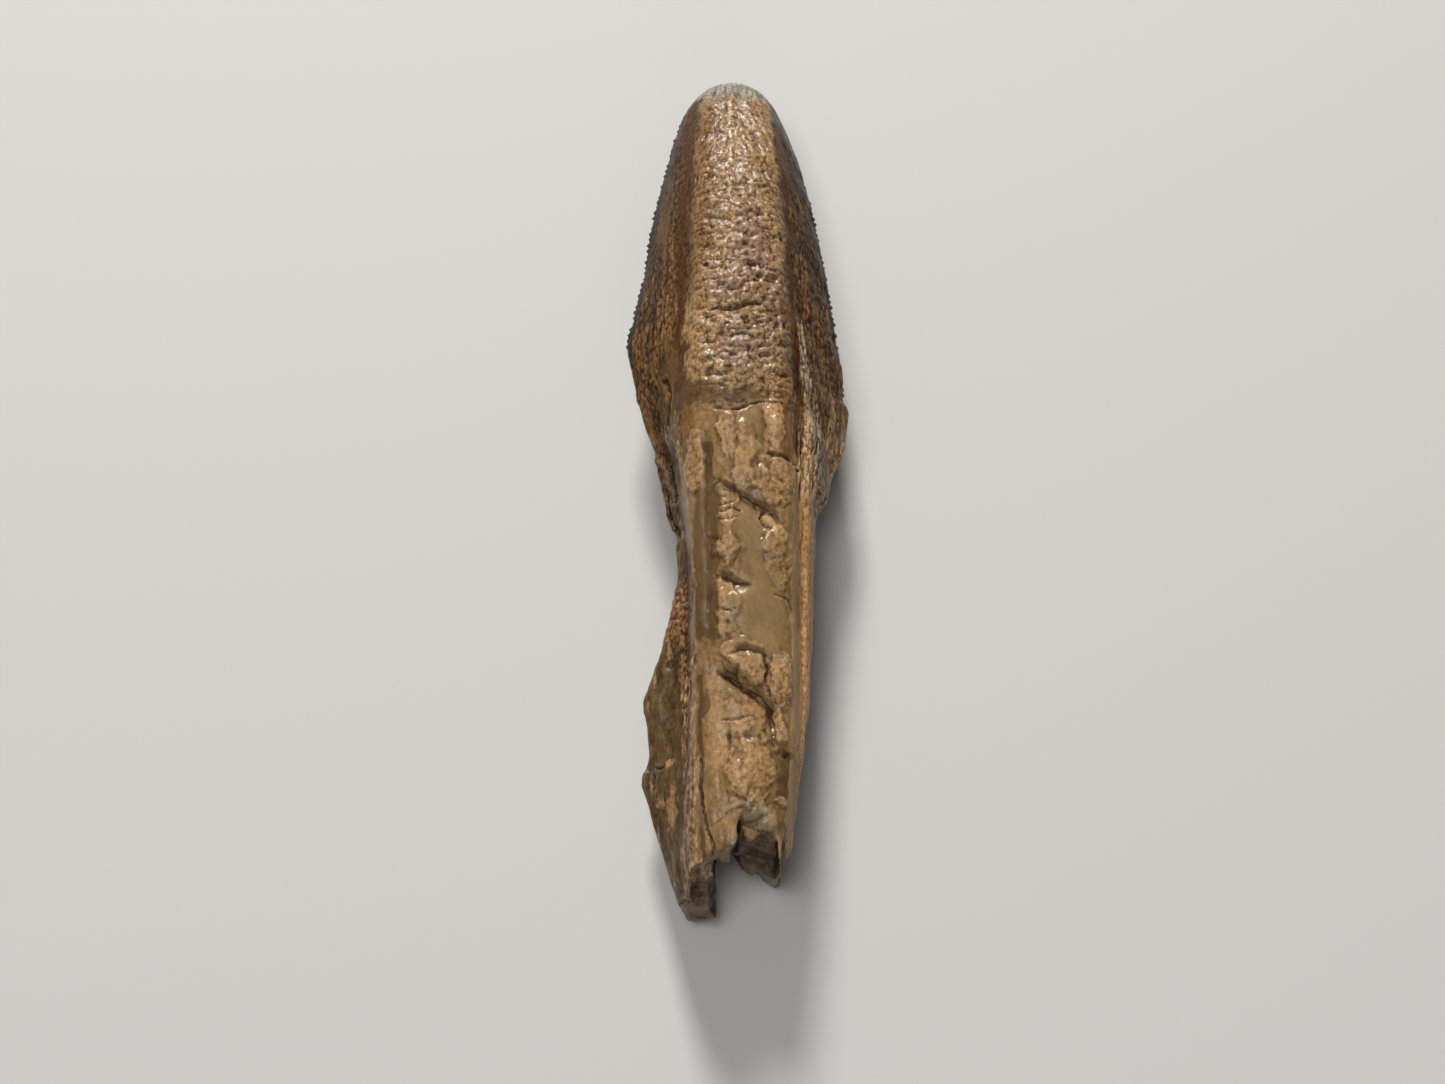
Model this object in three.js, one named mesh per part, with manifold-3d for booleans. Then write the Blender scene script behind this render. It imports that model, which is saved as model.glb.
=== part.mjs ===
// Rooted fossil tooth of a horned dinosaur, one solid piece, lying on its enamel side.
// Millimetres. The tip of the crown points along +Y, the rough inner face looks up (+Z) and +X is
// to the right of someone who looks down on that face with the tip away from them.
// The crown is a leaf with a broad raised ridge between two wings. Below the neck the ridge goes on as
// the root's column, with a thin broken flange beside it on the left. The root's end is snapped off
// and opens the pulp hollow between two prongs.
import * as THREE from "three";
import { mergeVertices } from "three/addons/utils/BufferGeometryUtils.js";
import Module from "manifold-3d";

// ---------------------------------------------------------------- driving dimensions

const TOOTH_LENGTH = 80.6; // tip of the crown to the end of the longer prong
const END_SPARE = 2; // the loft runs on this far past the broken end, and the break cuts it off
const TIP_STEP = 0.35; // first step between sections, at the blunt tip
const BODY_STEP = 0.95; // step between sections over the rest of the length
const STEP_GROWTH = 1.16; // each step from the tip is this much longer than the last
const LUMP_HEIGHT = 0.16; // natural unevenness of the surface
const REST_PLANE = 0; // height of the flats that the tooth lies on
const CUT_CLEARANCE = 0.5; // how far a cutter stands proud of the surface it cuts
const GASH_END_SHARE = 0.3; // share of its width and depth that a gash still has at either end
const CLEAR = TOOTH_LENGTH + END_SPARE + 1.4; // distance down from the tip that is past the whole loft
const PULP_DEPTH = 12; // how far the pulp hollow reaches up from the end
const PULP_CENTRE = [-0.1, 7]; // x and z of its middle at the end
const PULP_RADII = [1.1, 2.8]; // its half width and half height at the end
const PULP_SIDES = 10;

// Fossil colours, for the mesh's own material
const BONE_BROWN = 0x7a5c3a;
const BONE_ROUGHNESS = 0.45;

// Lines that run down the tooth. Each row is [distance down from the tip, x, z]. A section's outline
// goes through the lines in this order: over the front from the left edge to the right edge, then
// back round the enamel side.
const LINES = {
  leftEdge: [
    [0, 0.1, 5.6], [0.12, -1.3, 5.6], [0.7, -2.5, 5.7], [1.9, -3.4, 5.8], [4.2, -4.5, 6],
    [8.7, -5.6, 6.4], [15.4, -7, 6.9], [22, -7.9, 7.2], [26.4, -8.8, 7.4], [29.1, -9.3, 7.4],
    [31.1, -8.9, 7.4], [35, -8.1, 7.2], [37, -7.6, 7], [39.6, -6.6, 6.7], [41.6, -6.4, 6.4],
    [43.5, -5.8, 6.1], [45.4, -5.6, 5.9], [46.4, -4.9, 5.8], [50.4, -4.5, 5.4], [53, -4.9, 5.2],
    [56, -5.6, 5], [59.6, -6.7, 4.7], [62.4, -7.6, 4.5], [63.4, -7.2, 4.5], [66.6, -6.9, 4.5],
    [68.8, -7.5, 4.5], [71.8, -6.7, 4.6], [75.2, -5.7, 4.8], [78.6, -4.6, 5], [82.6, -3.2, 5.2],
  ],
  leftWing: [
    [0, 0, 5.7], [0.7, -2.1, 6.3], [4.2, -3.6, 7.9], [12, -4.7, 9.3], [20, -5.7, 10.2],
    [30, -6.4, 10.6], [34, -6.2, 9.9], [37, -5.9, 8.4], [39.5, -5.4, 7.2], [42, -5, 6.7],
    [45, -4.5, 6.4], [48, -3.9, 6.2], [52, -3.5, 6.2], [60, -3.5, 6.2], [66, -3.8, 6.4],
    [72, -4.1, 6.8], [76, -4, 7.1], [82.6, -3, 7.2],
  ],
  leftValley: [
    [0, 0, 5.8], [0.7, -1.7, 6.7], [4.2, -2.9, 9], [12, -3.1, 11.3], [20, -3.4, 12.5], [30, -3.5, 13.2],
    [34, -3.9, 13], [37, -4.6, 12.2], [39.5, -4.8, 11.6], [42, -4.5, 11.5], [45, -4, 11.7],
    [48, -3.5, 12], [52, -3.1, 12.2], [60, -3, 11.5], [66, -3.2, 10.8], [72, -3.4, 10.3],
    [76, -3.3, 9.8], [82.6, -2.7, 9.4],
  ],
  leftShoulder: [
    [0, 0.1, 5.9], [0.7, -1.2, 7.2], [4.2, -2.1, 9.9], [12, -2.4, 12.2], [20, -2.7, 13.6],
    [30, -2.9, 14.6], [38, -2.7, 14.6], [46, -2.5, 14.2], [56, -2.4, 13.3], [66, -2.5, 12.4],
    [76, -2.4, 11.4], [82.6, -2.2, 10.8],
  ],
  ridgeTop: [
    [0, 0.4, 6], [0.7, 0.4, 7.6], [4.2, 0.7, 10.4], [12, 0.9, 12.9], [20, 0.9, 14.5], [30, 1, 15.4],
    [38, 1.3, 15.4], [48, 1.4, 14.8], [60, 1.4, 13.8], [70, 1.3, 13], [82.6, 1, 12],
  ],
  rightShoulder: [
    [0, 0.6, 5.9], [0.7, 1.9, 7.2], [4.2, 3.6, 9.8], [12, 4.3, 12.1], [20, 4.6, 13.5], [30, 4.9, 14.5],
    [38, 5.5, 14.4], [46, 5.6, 13.8], [56, 5.6, 12.9], [66, 5.5, 12.1], [74, 4.9, 11.4],
    [82.6, 3.6, 10.6],
  ],
  rightValley: [
    [0, 0.7, 5.8], [0.7, 2.3, 6.7], [4.2, 4.1, 8.8], [12, 5.1, 11.2], [20, 5.5, 12.3], [30, 5.9, 12.9],
    [38, 6.1, 12.7], [46, 6.1, 12], [56, 6, 10.9], [66, 5.9, 10.2], [74, 5.2, 9.8], [82.6, 4, 9.2],
  ],
  rightWing: [
    [0, 0.7, 5.7], [0.7, 2.6, 6.3], [4.2, 4.6, 7.8], [12, 6, 9.2], [20, 7.2, 10.1], [30, 7.8, 10.9],
    [36, 7.2, 12.5], [44, 7.1, 12.1], [50, 6.9, 11.4], [60, 6.6, 10.8], [68, 6.3, 9.9], [75, 5.5, 9],
    [82.6, 4, 8.4],
  ],
  rightEdge: [
    [0, 0.6, 5.6], [0.12, 1.7, 5.6], [0.7, 2.8, 5.7], [1.9, 3.8, 5.8], [4.2, 5.1, 6], [8.7, 6.7, 6.4],
    [15.4, 8.2, 6.9], [22, 9.2, 7.2], [28, 10, 7.4], [33, 10.6, 7.4], [34.4, 10.5, 7.4],
    [35.2, 11, 7.4], [38.8, 10.7, 7.4], [40.7, 10.1, 7.4], [41.3, 9.5, 7.5], [43.5, 9, 7.5],
    [44.7, 8.6, 7.6], [45.3, 7.9, 7.7], [53, 7.6, 7.8], [60, 7.3, 7.8], [66.6, 6.8, 7.6],
    [70.5, 6.2, 7.4], [73.5, 5.6, 7.2], [76, 4.8, 7], [82.6, 3.9, 6.6],
  ],
  rightFlank: [
    [0, 0.7, 5.4], [0.7, 2.2, 4.9], [4.2, 4, 4.6], [12, 5.2, 4.3], [20, 6, 4.2], [30, 6.4, 4],
    [38, 6.9, 4.2], [46, 6.9, 4.4], [56, 6.9, 4.2], [66, 6.2, 3.6], [74, 5.3, 3.2], [82.6, 4.2, 3],
  ],
  rightHeel: [
    [0, 0.6, 5.1], [0.7, 1.5, 4.1], [4.2, 2.4, 3], [12, 2.9, 1.5], [20, 3, 0.6], [30, 3, 0.3],
    [38, 3.4, 0.9], [46, 4, 1.5], [56, 4.6, 1.2], [64, 4.6, 0.3], [70, 4.2, -0.3], [76, 3.9, 0.2],
    [82.6, 3.4, 0.9],
  ],
  keel: [
    [0, 0.4, 5.1], [0.7, 0.4, 4], [4.2, 0.7, 2.4], [12, 0.9, 0.7], [20, 0.9, -0.1], [26, 1, -0.35],
    [32, 1, -0.35], [38, 1.1, 0.4], [46, 1, 2], [56, 0.8, 3], [66, 0.6, 3.4], [74, 0.6, 4],
    [82.6, 0.6, 4.6],
  ],
  leftHeel: [
    [0, 0.1, 5.1], [0.7, -0.7, 4.1], [4.2, -1.1, 3], [12, -1.1, 1.5], [20, -1.1, 0.6], [30, -1, 0.3],
    [38, -1.2, 0.9], [46, -2, 1.7], [56, -3.2, 1.4], [64, -3.8, 0.4], [70, -3.9, -0.3], [76, -3.4, 0.4],
    [82.6, -2.6, 1.4],
  ],
  leftFlank: [
    [0, 0, 5.4], [0.7, -1.9, 4.9], [4.2, -3.3, 4.6], [12, -3.8, 4.3], [20, -4.4, 4.2], [30, -4.8, 4],
    [38, -4.6, 4], [46, -4.1, 3.8], [52, -4.2, 3.4], [62, -6.1, 2.6], [70, -6.1, 2.4], [76, -4.8, 2.8],
    [82.6, -3, 3.4],
  ],
};

// Faces between one line and the next, round the section
const FRONT_FACES = [3, 3, 2, 5, 5, 2, 3, 3];
const BACK_FACES = [3, 3, 2, 2, 3, 3];

// Gashes and ledges on the front. A route is a list of [x, distance down from the tip]. A lean of 0 is an
// even groove; 1 is a ledge, a steep step that runs out gently on the root's side.
const GASHES = [
  {
    name: "neck ledge",
    route: [[-0.9, 45], [0, 45.5], [2.3, 47.1], [4, 47.8], [4.9, 48.5]],
    width: 3,
    depth: 0.75,
    lean: 1,
  },
  {
    name: "column ledge",
    route: [[-0.9, 53.3], [0, 53.5], [0.8, 54], [1.9, 54.4]],
    width: 2.4,
    depth: 0.8,
    lean: 1,
  },
  {
    name: "arched step",
    route: [[0.3, 60.3], [0.8, 59.8], [1.9, 59.7], [2.5, 60.1], [3.7, 60.5]],
    width: 1.4,
    depth: 0.65,
    lean: 1,
  },
  {
    name: "gully",
    route: [[-0.7, 61.8], [0.3, 62.2], [1.6, 63.3], [2.9, 64.6], [3.7, 65.6], [4, 67.4]],
    width: 1.5,
    depth: 1.1,
    lean: 0.3,
  },
  {
    name: "patch edge",
    route: [[3.3, 38.8], [3.4, 41], [3.6, 42.7], [4.9, 42.9]],
    width: 1.6,
    depth: 0.45,
    lean: 1,
  },
  {
    name: "crown base crack",
    route: [[-1.3, 38.1], [-0.5, 38.7], [1.3, 38.7], [2.4, 38.5], [4.1, 38.2]],
    width: 0.7,
    depth: 0.5,
    lean: 0,
  },
  {
    name: "column groove",
    route: [[-2.1, 40.6], [-1.6, 44.5], [-1.5, 51], [-1.6, 60]],
    width: 1.5,
    depth: 0.5,
    lean: 0,
  },
  {
    name: "tongue groove",
    route: [[-2.4, 69.3], [-2.3, 71.3], [-1.8, 74.2], [-1.2, 76.8]],
    width: 0.5,
    depth: 0.4,
    lean: 0,
  },
  {
    name: "ridge crack",
    route: [[-1.6, 29], [0.6, 28.7], [2.7, 28.8]],
    width: 0.6,
    depth: 0.35,
    lean: 0,
  },
  {
    name: "slot",
    route: [[3.3, 60.6], [3.2, 61.8], [3.3, 63]],
    width: 0.9,
    depth: 0.9,
    lean: 0,
  },
  {
    name: "left crevice",
    route: [[-5, 40.8], [-4.8, 42.2], [-4.5, 43.7]],
    width: 0.6,
    depth: 0.6,
    lean: 0,
  },
  {
    name: "left groove",
    route: [[-5.6, 42.8], [-5.2, 44.6], [-4.7, 46.4]],
    width: 0.8,
    depth: 0.8,
    lean: 0,
  },
  {
    name: "lower crack",
    route: [[-1.2, 74.4], [-0.2, 73.8], [1.2, 73.2]],
    width: 0.8,
    depth: 0.5,
    lean: 0,
  },
];

// Raised crusts and lumps on the front: [x, distance down from the tip, half width, half length, height]
const CRUSTS = [
  [4.2, 39.7, 0.9, 1.3, 0.35],
  [4.3, 41.9, 0.9, 1.2, 0.35],
  [-0.2, 48.7, 1.1, 1, 0.25],
  [-0.3, 51.5, 1.2, 1.4, 0.35],
  [3.9, 50.6, 1.1, 2.3, 0.3],
  [1.2, 61.6, 1.5, 1.6, 0.6],
  [2.4, 63.2, 0.8, 1, 0.5],
  [4.4, 62.7, 1, 2.1, 0.45],
  [4.8, 65.6, 0.8, 1.6, 0.3],
  [4.6, 67.3, 0.8, 0.9, 0.4],
  [1.6, 70, 1.8, 2.9, 0.25],
  [-4.2, 55.4, 1.1, 3, 0.5],
  [-4.2, 76.3, 0.9, 3.6, 0.45],
];

// Pits: [x, distance down from the tip, radius, depth]
const PITS = [
  [0.3, 67.7, 0.5, 0.4],
  [4.6, 68.8, 0.6, 0.5],
  [-5.1, 58.7, 0.5, 0.8],
  [-3.9, 62.9, 0.4, 0.9],
  [-4.6, 46.8, 0.5, 1.2],
];

// Pieces broken off the root's end. Each break is a stack of outlines, [height, points as
// [x, distance down from the tip]], and what lies inside it is gone.
const BREAKS = {
  // between the prongs, right through the tooth
  gap: [
    [
      -2,
      [
        [-0.8, CLEAR], [-0.8, 76], [-0.5, 71], [0.6, 70.6], [0.7, 74.2], [1.3, 75.4], [2.4, 76.2],
        [4.4, CLEAR],
      ],
    ],
    [
      3,
      [
        [-1, CLEAR], [-1, 76], [-0.7, 72], [0.4, 71.4], [0.5, 75], [1.2, 76.4], [2.4, 77.3],
        [4, CLEAR],
      ],
    ],
    [
      6,
      [
        [-1, CLEAR], [-1, 77], [-0.8, 73], [0.2, 72.6], [0.5, 75.7], [1.2, 77.1], [2.4, 77.9],
        [3.6, CLEAR],
      ],
    ],
    [
      9.6,
      [
        [-1, CLEAR], [-1, 78], [-0.8, 76.6], [0.1, 76.4], [0.5, 76.9], [1.2, 77.8], [2.5, 78.4],
        [3.4, CLEAR],
      ],
    ],
  ],
  // the front wall right of the tongue, down to sloping facets
  rightFacet: [
    [3, [[0.5, CLEAR], [0.6, 75.8], [1.2, 77.2], [2.3, 78], [3.6, 78.5], [4.3, CLEAR]]],
    [8, [[0.6, CLEAR], [0.7, 76.2], [1.1, 76.4], [2.2, 76.6], [3.9, 77], [4.4, CLEAR]]],
    [11.2, [[0.7, CLEAR], [0.8, 75.6], [1.2, 75.3], [2, 75.2], [4, 75.8], [4.5, CLEAR]]],
    [14, [[0.8, CLEAR], [0.9, 73.4], [1.3, 71.4], [1.9, 70.8], [4.1, 71.4], [4.6, CLEAR]]],
  ],
  // the end of the tongue
  tongueEnd: [
    [6, [[-1.1, CLEAR], [-1, 76.8], [-0.6, 77.5], [0.2, 77.4], [1.1, 76.6], [1.4, CLEAR]]],
    [14, [[-1.2, CLEAR], [-1.1, 76.2], [-0.7, 77], [0.1, 76.9], [1.1, 75.2], [1.4, CLEAR]]],
  ],
  // the front of the left prong
  leftFacet: [
    [5.2, [[-3, CLEAR], [-3, 81.2], [-1.7, 81.1], [-1.6, 81], [-0.5, 81], [-0.5, CLEAR]]],
    [6.8, [[-3.1, CLEAR], [-3.1, 79.8], [-1.7, 79.6], [-1.6, 79.5], [-0.5, 79.5], [-0.5, CLEAR]]],
    [9.4, [[-3.2, CLEAR], [-3.1, 78.1], [-1.9, 77.9], [-1.7, 77.6], [-0.5, 77.5], [-0.5, CLEAR]]],
    [14, [[-3.4, CLEAR], [-3.2, 77.9], [-2.1, 77.5], [-1.9, 77.1], [-0.5, 76.4], [-0.5, CLEAR]]],
  ],
  // the left prong's inner side, sloping down to the gap
  leftInner: [
    [2, [[-0.9, CLEAR], [-0.9, 78], [-0.5, 77], [-0.4, CLEAR]]],
    [7.2, [[-1.8, CLEAR], [-1.7, 78.3], [-0.5, 77.8], [-0.4, CLEAR]]],
    [14, [[-2.4, CLEAR], [-2.2, 78.6], [-0.5, 78], [-0.4, CLEAR]]],
  ],
  // past the end of the right wall
  rightEnd: [
    [
      -2,
      [
        [2, CLEAR], [2.2, 75.9], [3.2, 76.6], [4.1, 77.3], [4.4, 77.1], [4.8, 76.3], [5.3, 75.6],
        [7.5, 74.2], [7.5, CLEAR],
      ],
    ],
    [
      14,
      [
        [2, CLEAR], [2.1, 78], [3.1, 78.5], [4.1, 79.2], [4.4, 79], [4.7, 77.8], [5.2, 76.8],
        [7.5, 75.4], [7.5, CLEAR],
      ],
    ],
  ],
  // past the end of the left prong
  leftEnd: [
    [-2, [[-8, CLEAR], [-8, 78], [-3.4, TOOTH_LENGTH], [8, TOOTH_LENGTH], [8, CLEAR]]],
    [3.2, [[-8, CLEAR], [-8, 78], [-3.4, TOOTH_LENGTH], [8, TOOTH_LENGTH], [8, CLEAR]]],
    [9, [[-8, CLEAR], [-8, 77], [-3.7, 79.6], [8, 79.7], [8, CLEAR]]],
  ],
};

// ---------------------------------------------------------------- curves

// Smooth value between the rows of a table, without overshoot (monotone cubic).
function tableValue(rows, at, column) {
  let i = 0;
  while (i < rows.length - 2 && at > rows[i + 1][0]) {
    i += 1;
  }
  const slope = (k) => (rows[k + 1][column] - rows[k][column]) / (rows[k + 1][0] - rows[k][0]);
  const tangent = (k) => {
    if (k === 0) return slope(0);
    if (k === rows.length - 1) return slope(k - 1);
    const before = slope(k - 1);
    const after = slope(k);
    return before * after <= 0 ? 0 : (2 * before * after) / (before + after);
  };
  const span = rows[i + 1][0] - rows[i][0];
  const t = THREE.MathUtils.clamp((at - rows[i][0]) / span, 0, 1);
  const t2 = t * t;
  const t3 = t2 * t;
  return (
    (2 * t3 - 3 * t2 + 1) * rows[i][column] +
    (t3 - 2 * t2 + t) * span * tangent(i) +
    (3 * t2 - 2 * t3) * rows[i + 1][column] +
    (t3 - t2) * span * tangent(i + 1)
  );
}

const tipY = TOOTH_LENGTH / 2;
const lineNames = Object.keys(LINES);
const frontNames = lineNames.slice(0, FRONT_FACES.length + 1);
const backNames = [...lineNames.slice(FRONT_FACES.length), lineNames[0]];

// Points of one side of a section: a smooth curve through the named lines, without its last point.
function sidePoints(names, faces, down) {
  const knots = names.map(
    (name) =>
      new THREE.Vector3(tableValue(LINES[name], down, 1), tipY - down, tableValue(LINES[name], down, 2)),
  );
  const curve = new THREE.CatmullRomCurve3(knots, false, "centripetal");
  const points = [];
  faces.forEach((count, segment) => {
    for (let j = 0; j < count; j += 1) {
      points.push(curve.getPoint((segment + j / count) / faces.length));
    }
  });
  return points;
}

// Height of the front surface over a point.
function frontHeight(x, down) {
  const points = sidePoints(frontNames, FRONT_FACES, down);
  let i = 0;
  while (i < points.length - 2 && x > points[i + 1].x) {
    i += 1;
  }
  const t = THREE.MathUtils.clamp((x - points[i].x) / (points[i + 1].x - points[i].x), 0, 1);
  return THREE.MathUtils.lerp(points[i].z, points[i + 1].z, t);
}

// How far the crusts raise the front at a point.
function crustHeight(p) {
  const down = tipY - p.y;
  return CRUSTS.reduce((sum, [x, middle, halfWidth, halfLength, height]) => {
    const reach = Math.hypot((p.x - x) / halfWidth, (down - middle) / halfLength);
    return sum + height * (1 - THREE.MathUtils.smoothstep(reach, 0.5, 1.15));
  }, 0);
}

// Gentle lumps, the same everywhere the same point is asked for.
function lump(p) {
  return (
    Math.sin(p.x * 1.9 + p.y * 0.83 + 0.4) * 0.45 +
    Math.sin(p.y * 1.37 - p.z * 1.7 + 2.1) * 0.35 +
    Math.sin(p.x * 3.1 - p.y * 2.3 + p.z * 2.6) * 0.2
  );
}

// ---------------------------------------------------------------- solids

const wasm = await Module();
wasm.setup();

// Solid from a list of rings of the same number of points, closed with a fan at each end.
function ringSolid(rings) {
  const size = rings[0].length;
  const centre = (ring) => ring.reduce((sum, p) => sum.add(p), new THREE.Vector3()).divideScalar(size);
  const points = [...rings.flat(), centre(rings[0]), centre(rings.at(-1))];
  const first = rings.length * size;
  const triangles = [];
  for (let r = 0; r < rings.length - 1; r += 1) {
    for (let i = 0; i < size; i += 1) {
      const a = r * size + i;
      const b = r * size + ((i + 1) % size);
      triangles.push([a, b, b + size], [a, b + size, a + size]);
    }
  }
  const last = (rings.length - 1) * size;
  for (let i = 0; i < size; i += 1) {
    const next = (i + 1) % size;
    triangles.push([first, next, i], [first + 1, last + i, last + next]);
  }
  const geometry = new THREE.BufferGeometry().setFromPoints(points);
  geometry.setIndex(triangles.flat());
  return solidOf(geometry);
}

// A closed geometry as a solid whose faces point out.
function solidOf(geometry) {
  geometry.deleteAttribute("normal");
  geometry.deleteAttribute("uv");
  const merged = mergeVertices(geometry, 1e-4);
  const position = merged.attributes.position.array;
  const triangles = new Uint32Array(merged.index.array);
  const make = () => {
    const mesh = new wasm.Mesh({ numProp: 3, vertProperties: position, triVerts: triangles });
    return new wasm.Manifold(mesh);
  };
  const solid = make();
  if (solid.volume() > 0) return solid;
  for (let i = 0; i < triangles.length; i += 3) {
    [triangles[i + 1], triangles[i + 2]] = [triangles[i + 2], triangles[i + 1]];
  }
  return make();
}

// Solid through flat outlines, each a [height, list of [x, distance down from the tip]].
function outlineSolid(layers) {
  const rings = layers.map(([z, outline]) => {
    return outline.map(([x, down]) => new THREE.Vector3(x, tipY - down, z));
  });
  return ringSolid(rings);
}

// ---------------------------------------------------------------- the tooth's parts

// Distances down from the tip at which the tooth has a section.
function stations() {
  const list = [0.02];
  let step = TIP_STEP;
  while (list.at(-1) < TOOTH_LENGTH + END_SPARE) {
    list.push(list.at(-1) + step);
    step = Math.min(step * STEP_GROWTH, BODY_STEP);
  }
  return list;
}

// The whole outer form, before anything is broken off it.
function outerForm() {
  const rings = stations().map((down) => {
    const front = sidePoints(frontNames, FRONT_FACES, down);
    front.forEach((p) => {
      p.z += crustHeight(p);
    });
    const ring = [...front, ...sidePoints(backNames, BACK_FACES, down)];
    const fade = THREE.MathUtils.smoothstep(down, 0, 5);
    return ring.map((p) => {
      const height = LUMP_HEIGHT * fade * lump(p);
      return new THREE.Vector3(p.x + 0.6 * height, p.y, p.z + height);
    });
  });
  return ringSolid(rings);
}

// Cutter for one gash: a three-sided bar whose lower edge follows the route below the surface.
function gashCutter({ route, width, depth, lean }) {
  const rings = route.map(([x, down], i) => {
    const [x0, down0] = route[Math.max(i - 1, 0)];
    const [x1, down1] = route[Math.min(i + 1, route.length - 1)];
    const along = new THREE.Vector2(x1 - x0, down0 - down1).normalize();
    const across = new THREE.Vector2(along.y, -along.x);
    const isEnd = i === 0 || i === route.length - 1;
    const share = isEnd ? GASH_END_SHARE : 1;
    const deep = depth * share;
    const reach = ((width * share) / 2) * ((deep + CUT_CLEARANCE) / deep);
    const z = frontHeight(x, down);
    const corner = (side) => {
      const out = reach * (side + lean);
      return new THREE.Vector3(x + across.x * out, tipY - down + across.y * out, z + CUT_CLEARANCE);
    };
    return [new THREE.Vector3(x, tipY - down, z - deep), corner(1), corner(-1)];
  });
  return ringSolid(rings);
}

// Cutter for a pit: a short rough cone, point down.
function pitCutter([x, down, radius, depth]) {
  const z = frontHeight(x, down);
  const cone = new THREE.ConeGeometry(radius * 1.6, depth + CUT_CLEARANCE, 7);
  cone.rotateX(-Math.PI / 2);
  cone.translate(x, tipY - down, z + CUT_CLEARANCE / 2 - depth / 2);
  return solidOf(cone);
}

// The pulp hollow: an egg-shaped cone that narrows up the root.
function pulpHollow() {
  const rings = [-END_SPARE - 1, 2, 6, 10, PULP_DEPTH].map((up) => {
    const share = Math.sqrt(Math.max(1 - Math.max(up, 0) / (PULP_DEPTH + 0.4), 0.02));
    return Array.from({ length: PULP_SIDES }, (_, i) => {
      const angle = (i / PULP_SIDES) * Math.PI * 2;
      const wobble = 1 + 0.08 * Math.sin(3 * angle + up);
      return new THREE.Vector3(
        PULP_CENTRE[0] + Math.cos(angle) * PULP_RADII[0] * share * wobble,
        -tipY + up,
        PULP_CENTRE[1] + Math.sin(angle) * PULP_RADII[1] * share * wobble,
      );
    });
  });
  return ringSolid(rings);
}

// Everything below the plane that the tooth lies on.
function belowRestPlane() {
  const depth = 10;
  const box = new THREE.BoxGeometry(60, 2 * TOOTH_LENGTH, depth);
  box.translate(0, 0, REST_PLANE - depth / 2);
  return solidOf(box);
}

// ---------------------------------------------------------------- assembly

function buildTooth() {
  let tooth = outerForm();
  for (const gash of GASHES) {
    tooth = tooth.subtract(gashCutter(gash));
  }
  for (const pit of PITS) {
    tooth = tooth.subtract(pitCutter(pit));
  }
  tooth = tooth.subtract(pulpHollow());
  for (const layers of Object.values(BREAKS)) {
    tooth = tooth.subtract(outlineSolid(layers));
  }
  return tooth.subtract(belowRestPlane());
}

function toMesh(solid) {
  const mesh = solid.getMesh();
  const geometry = new THREE.BufferGeometry();
  geometry.setAttribute("position", new THREE.BufferAttribute(new Float32Array(mesh.vertProperties), 3));
  geometry.setIndex(new THREE.BufferAttribute(new Uint32Array(mesh.triVerts), 1));
  geometry.computeBoundingBox();
  const middle = geometry.boundingBox.getCenter(new THREE.Vector3());
  geometry.translate(-middle.x, -middle.y, -geometry.boundingBox.min.z);
  geometry.computeVertexNormals();
  const material = new THREE.MeshStandardMaterial({
    color: BONE_BROWN,
    roughness: BONE_ROUGHNESS,
    metalness: 0,
  });
  const tooth = new THREE.Mesh(geometry, material);
  tooth.name = "tooth";
  return tooth;
}

const group = new THREE.Group();
group.add(toMesh(buildTooth()));
export default group;
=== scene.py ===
"""Fossil tooth of a horned dinosaur, dressed over its CAD solid.

The solid is copied, its crown gets a row of fine denticles along both margins, and the whole is
remeshed as one skin. The skin is then carved: grain on the ridge, fibres on the wings, islands,
ledges and cracks on the root, crusts on its flange and small steps on the broken end. Each zone
has its own finish in one material. Blender works in metres, and the carving in millimetres.
"""

import math

import bmesh
import bpy
import numpy as np
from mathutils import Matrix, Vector


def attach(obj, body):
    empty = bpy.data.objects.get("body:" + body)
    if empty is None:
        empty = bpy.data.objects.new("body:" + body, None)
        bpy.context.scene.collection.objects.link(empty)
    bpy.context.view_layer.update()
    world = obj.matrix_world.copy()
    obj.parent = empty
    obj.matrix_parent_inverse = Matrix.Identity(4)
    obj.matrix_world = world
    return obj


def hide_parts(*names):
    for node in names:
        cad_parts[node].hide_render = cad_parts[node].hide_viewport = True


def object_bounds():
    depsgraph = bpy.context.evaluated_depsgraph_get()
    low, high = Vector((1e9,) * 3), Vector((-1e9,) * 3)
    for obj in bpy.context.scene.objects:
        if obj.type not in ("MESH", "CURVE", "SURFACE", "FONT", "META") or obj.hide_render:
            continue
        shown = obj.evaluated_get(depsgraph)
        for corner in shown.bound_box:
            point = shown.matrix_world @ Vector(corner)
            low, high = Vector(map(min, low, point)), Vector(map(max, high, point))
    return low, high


bl_info = {
    "name": "Fossil Tooth",
    "version": (1, 0, 0),
    "blender": (4, 5, 0),
    "location": "View3D > Sidebar > Fossil Tooth",
    "description": "Dresses the CAD solid of a rooted dinosaur tooth as a mineral brown fossil",
    "category": "Object",
}

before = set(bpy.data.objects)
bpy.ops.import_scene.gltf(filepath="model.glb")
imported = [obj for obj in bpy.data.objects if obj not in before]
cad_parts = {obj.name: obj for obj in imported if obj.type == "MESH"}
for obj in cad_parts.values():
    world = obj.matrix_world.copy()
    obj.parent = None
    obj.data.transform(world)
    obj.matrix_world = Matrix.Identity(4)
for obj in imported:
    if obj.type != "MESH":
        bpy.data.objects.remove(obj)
cad_low, cad_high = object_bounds()

MM = 0.001  # a millimetre, in metres
NODE = "tooth"
SKIN = "tooth_skin"
DENTICLES = "margin_denticles"
TIP_Y = cad_high.y / MM  # the tip of the crown, mm
AXIS_X = -0.85  # the tooth's long axis, left of the middle of its box, mm

# ------------------------------------------------------------------ settings in the sidebar


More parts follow.
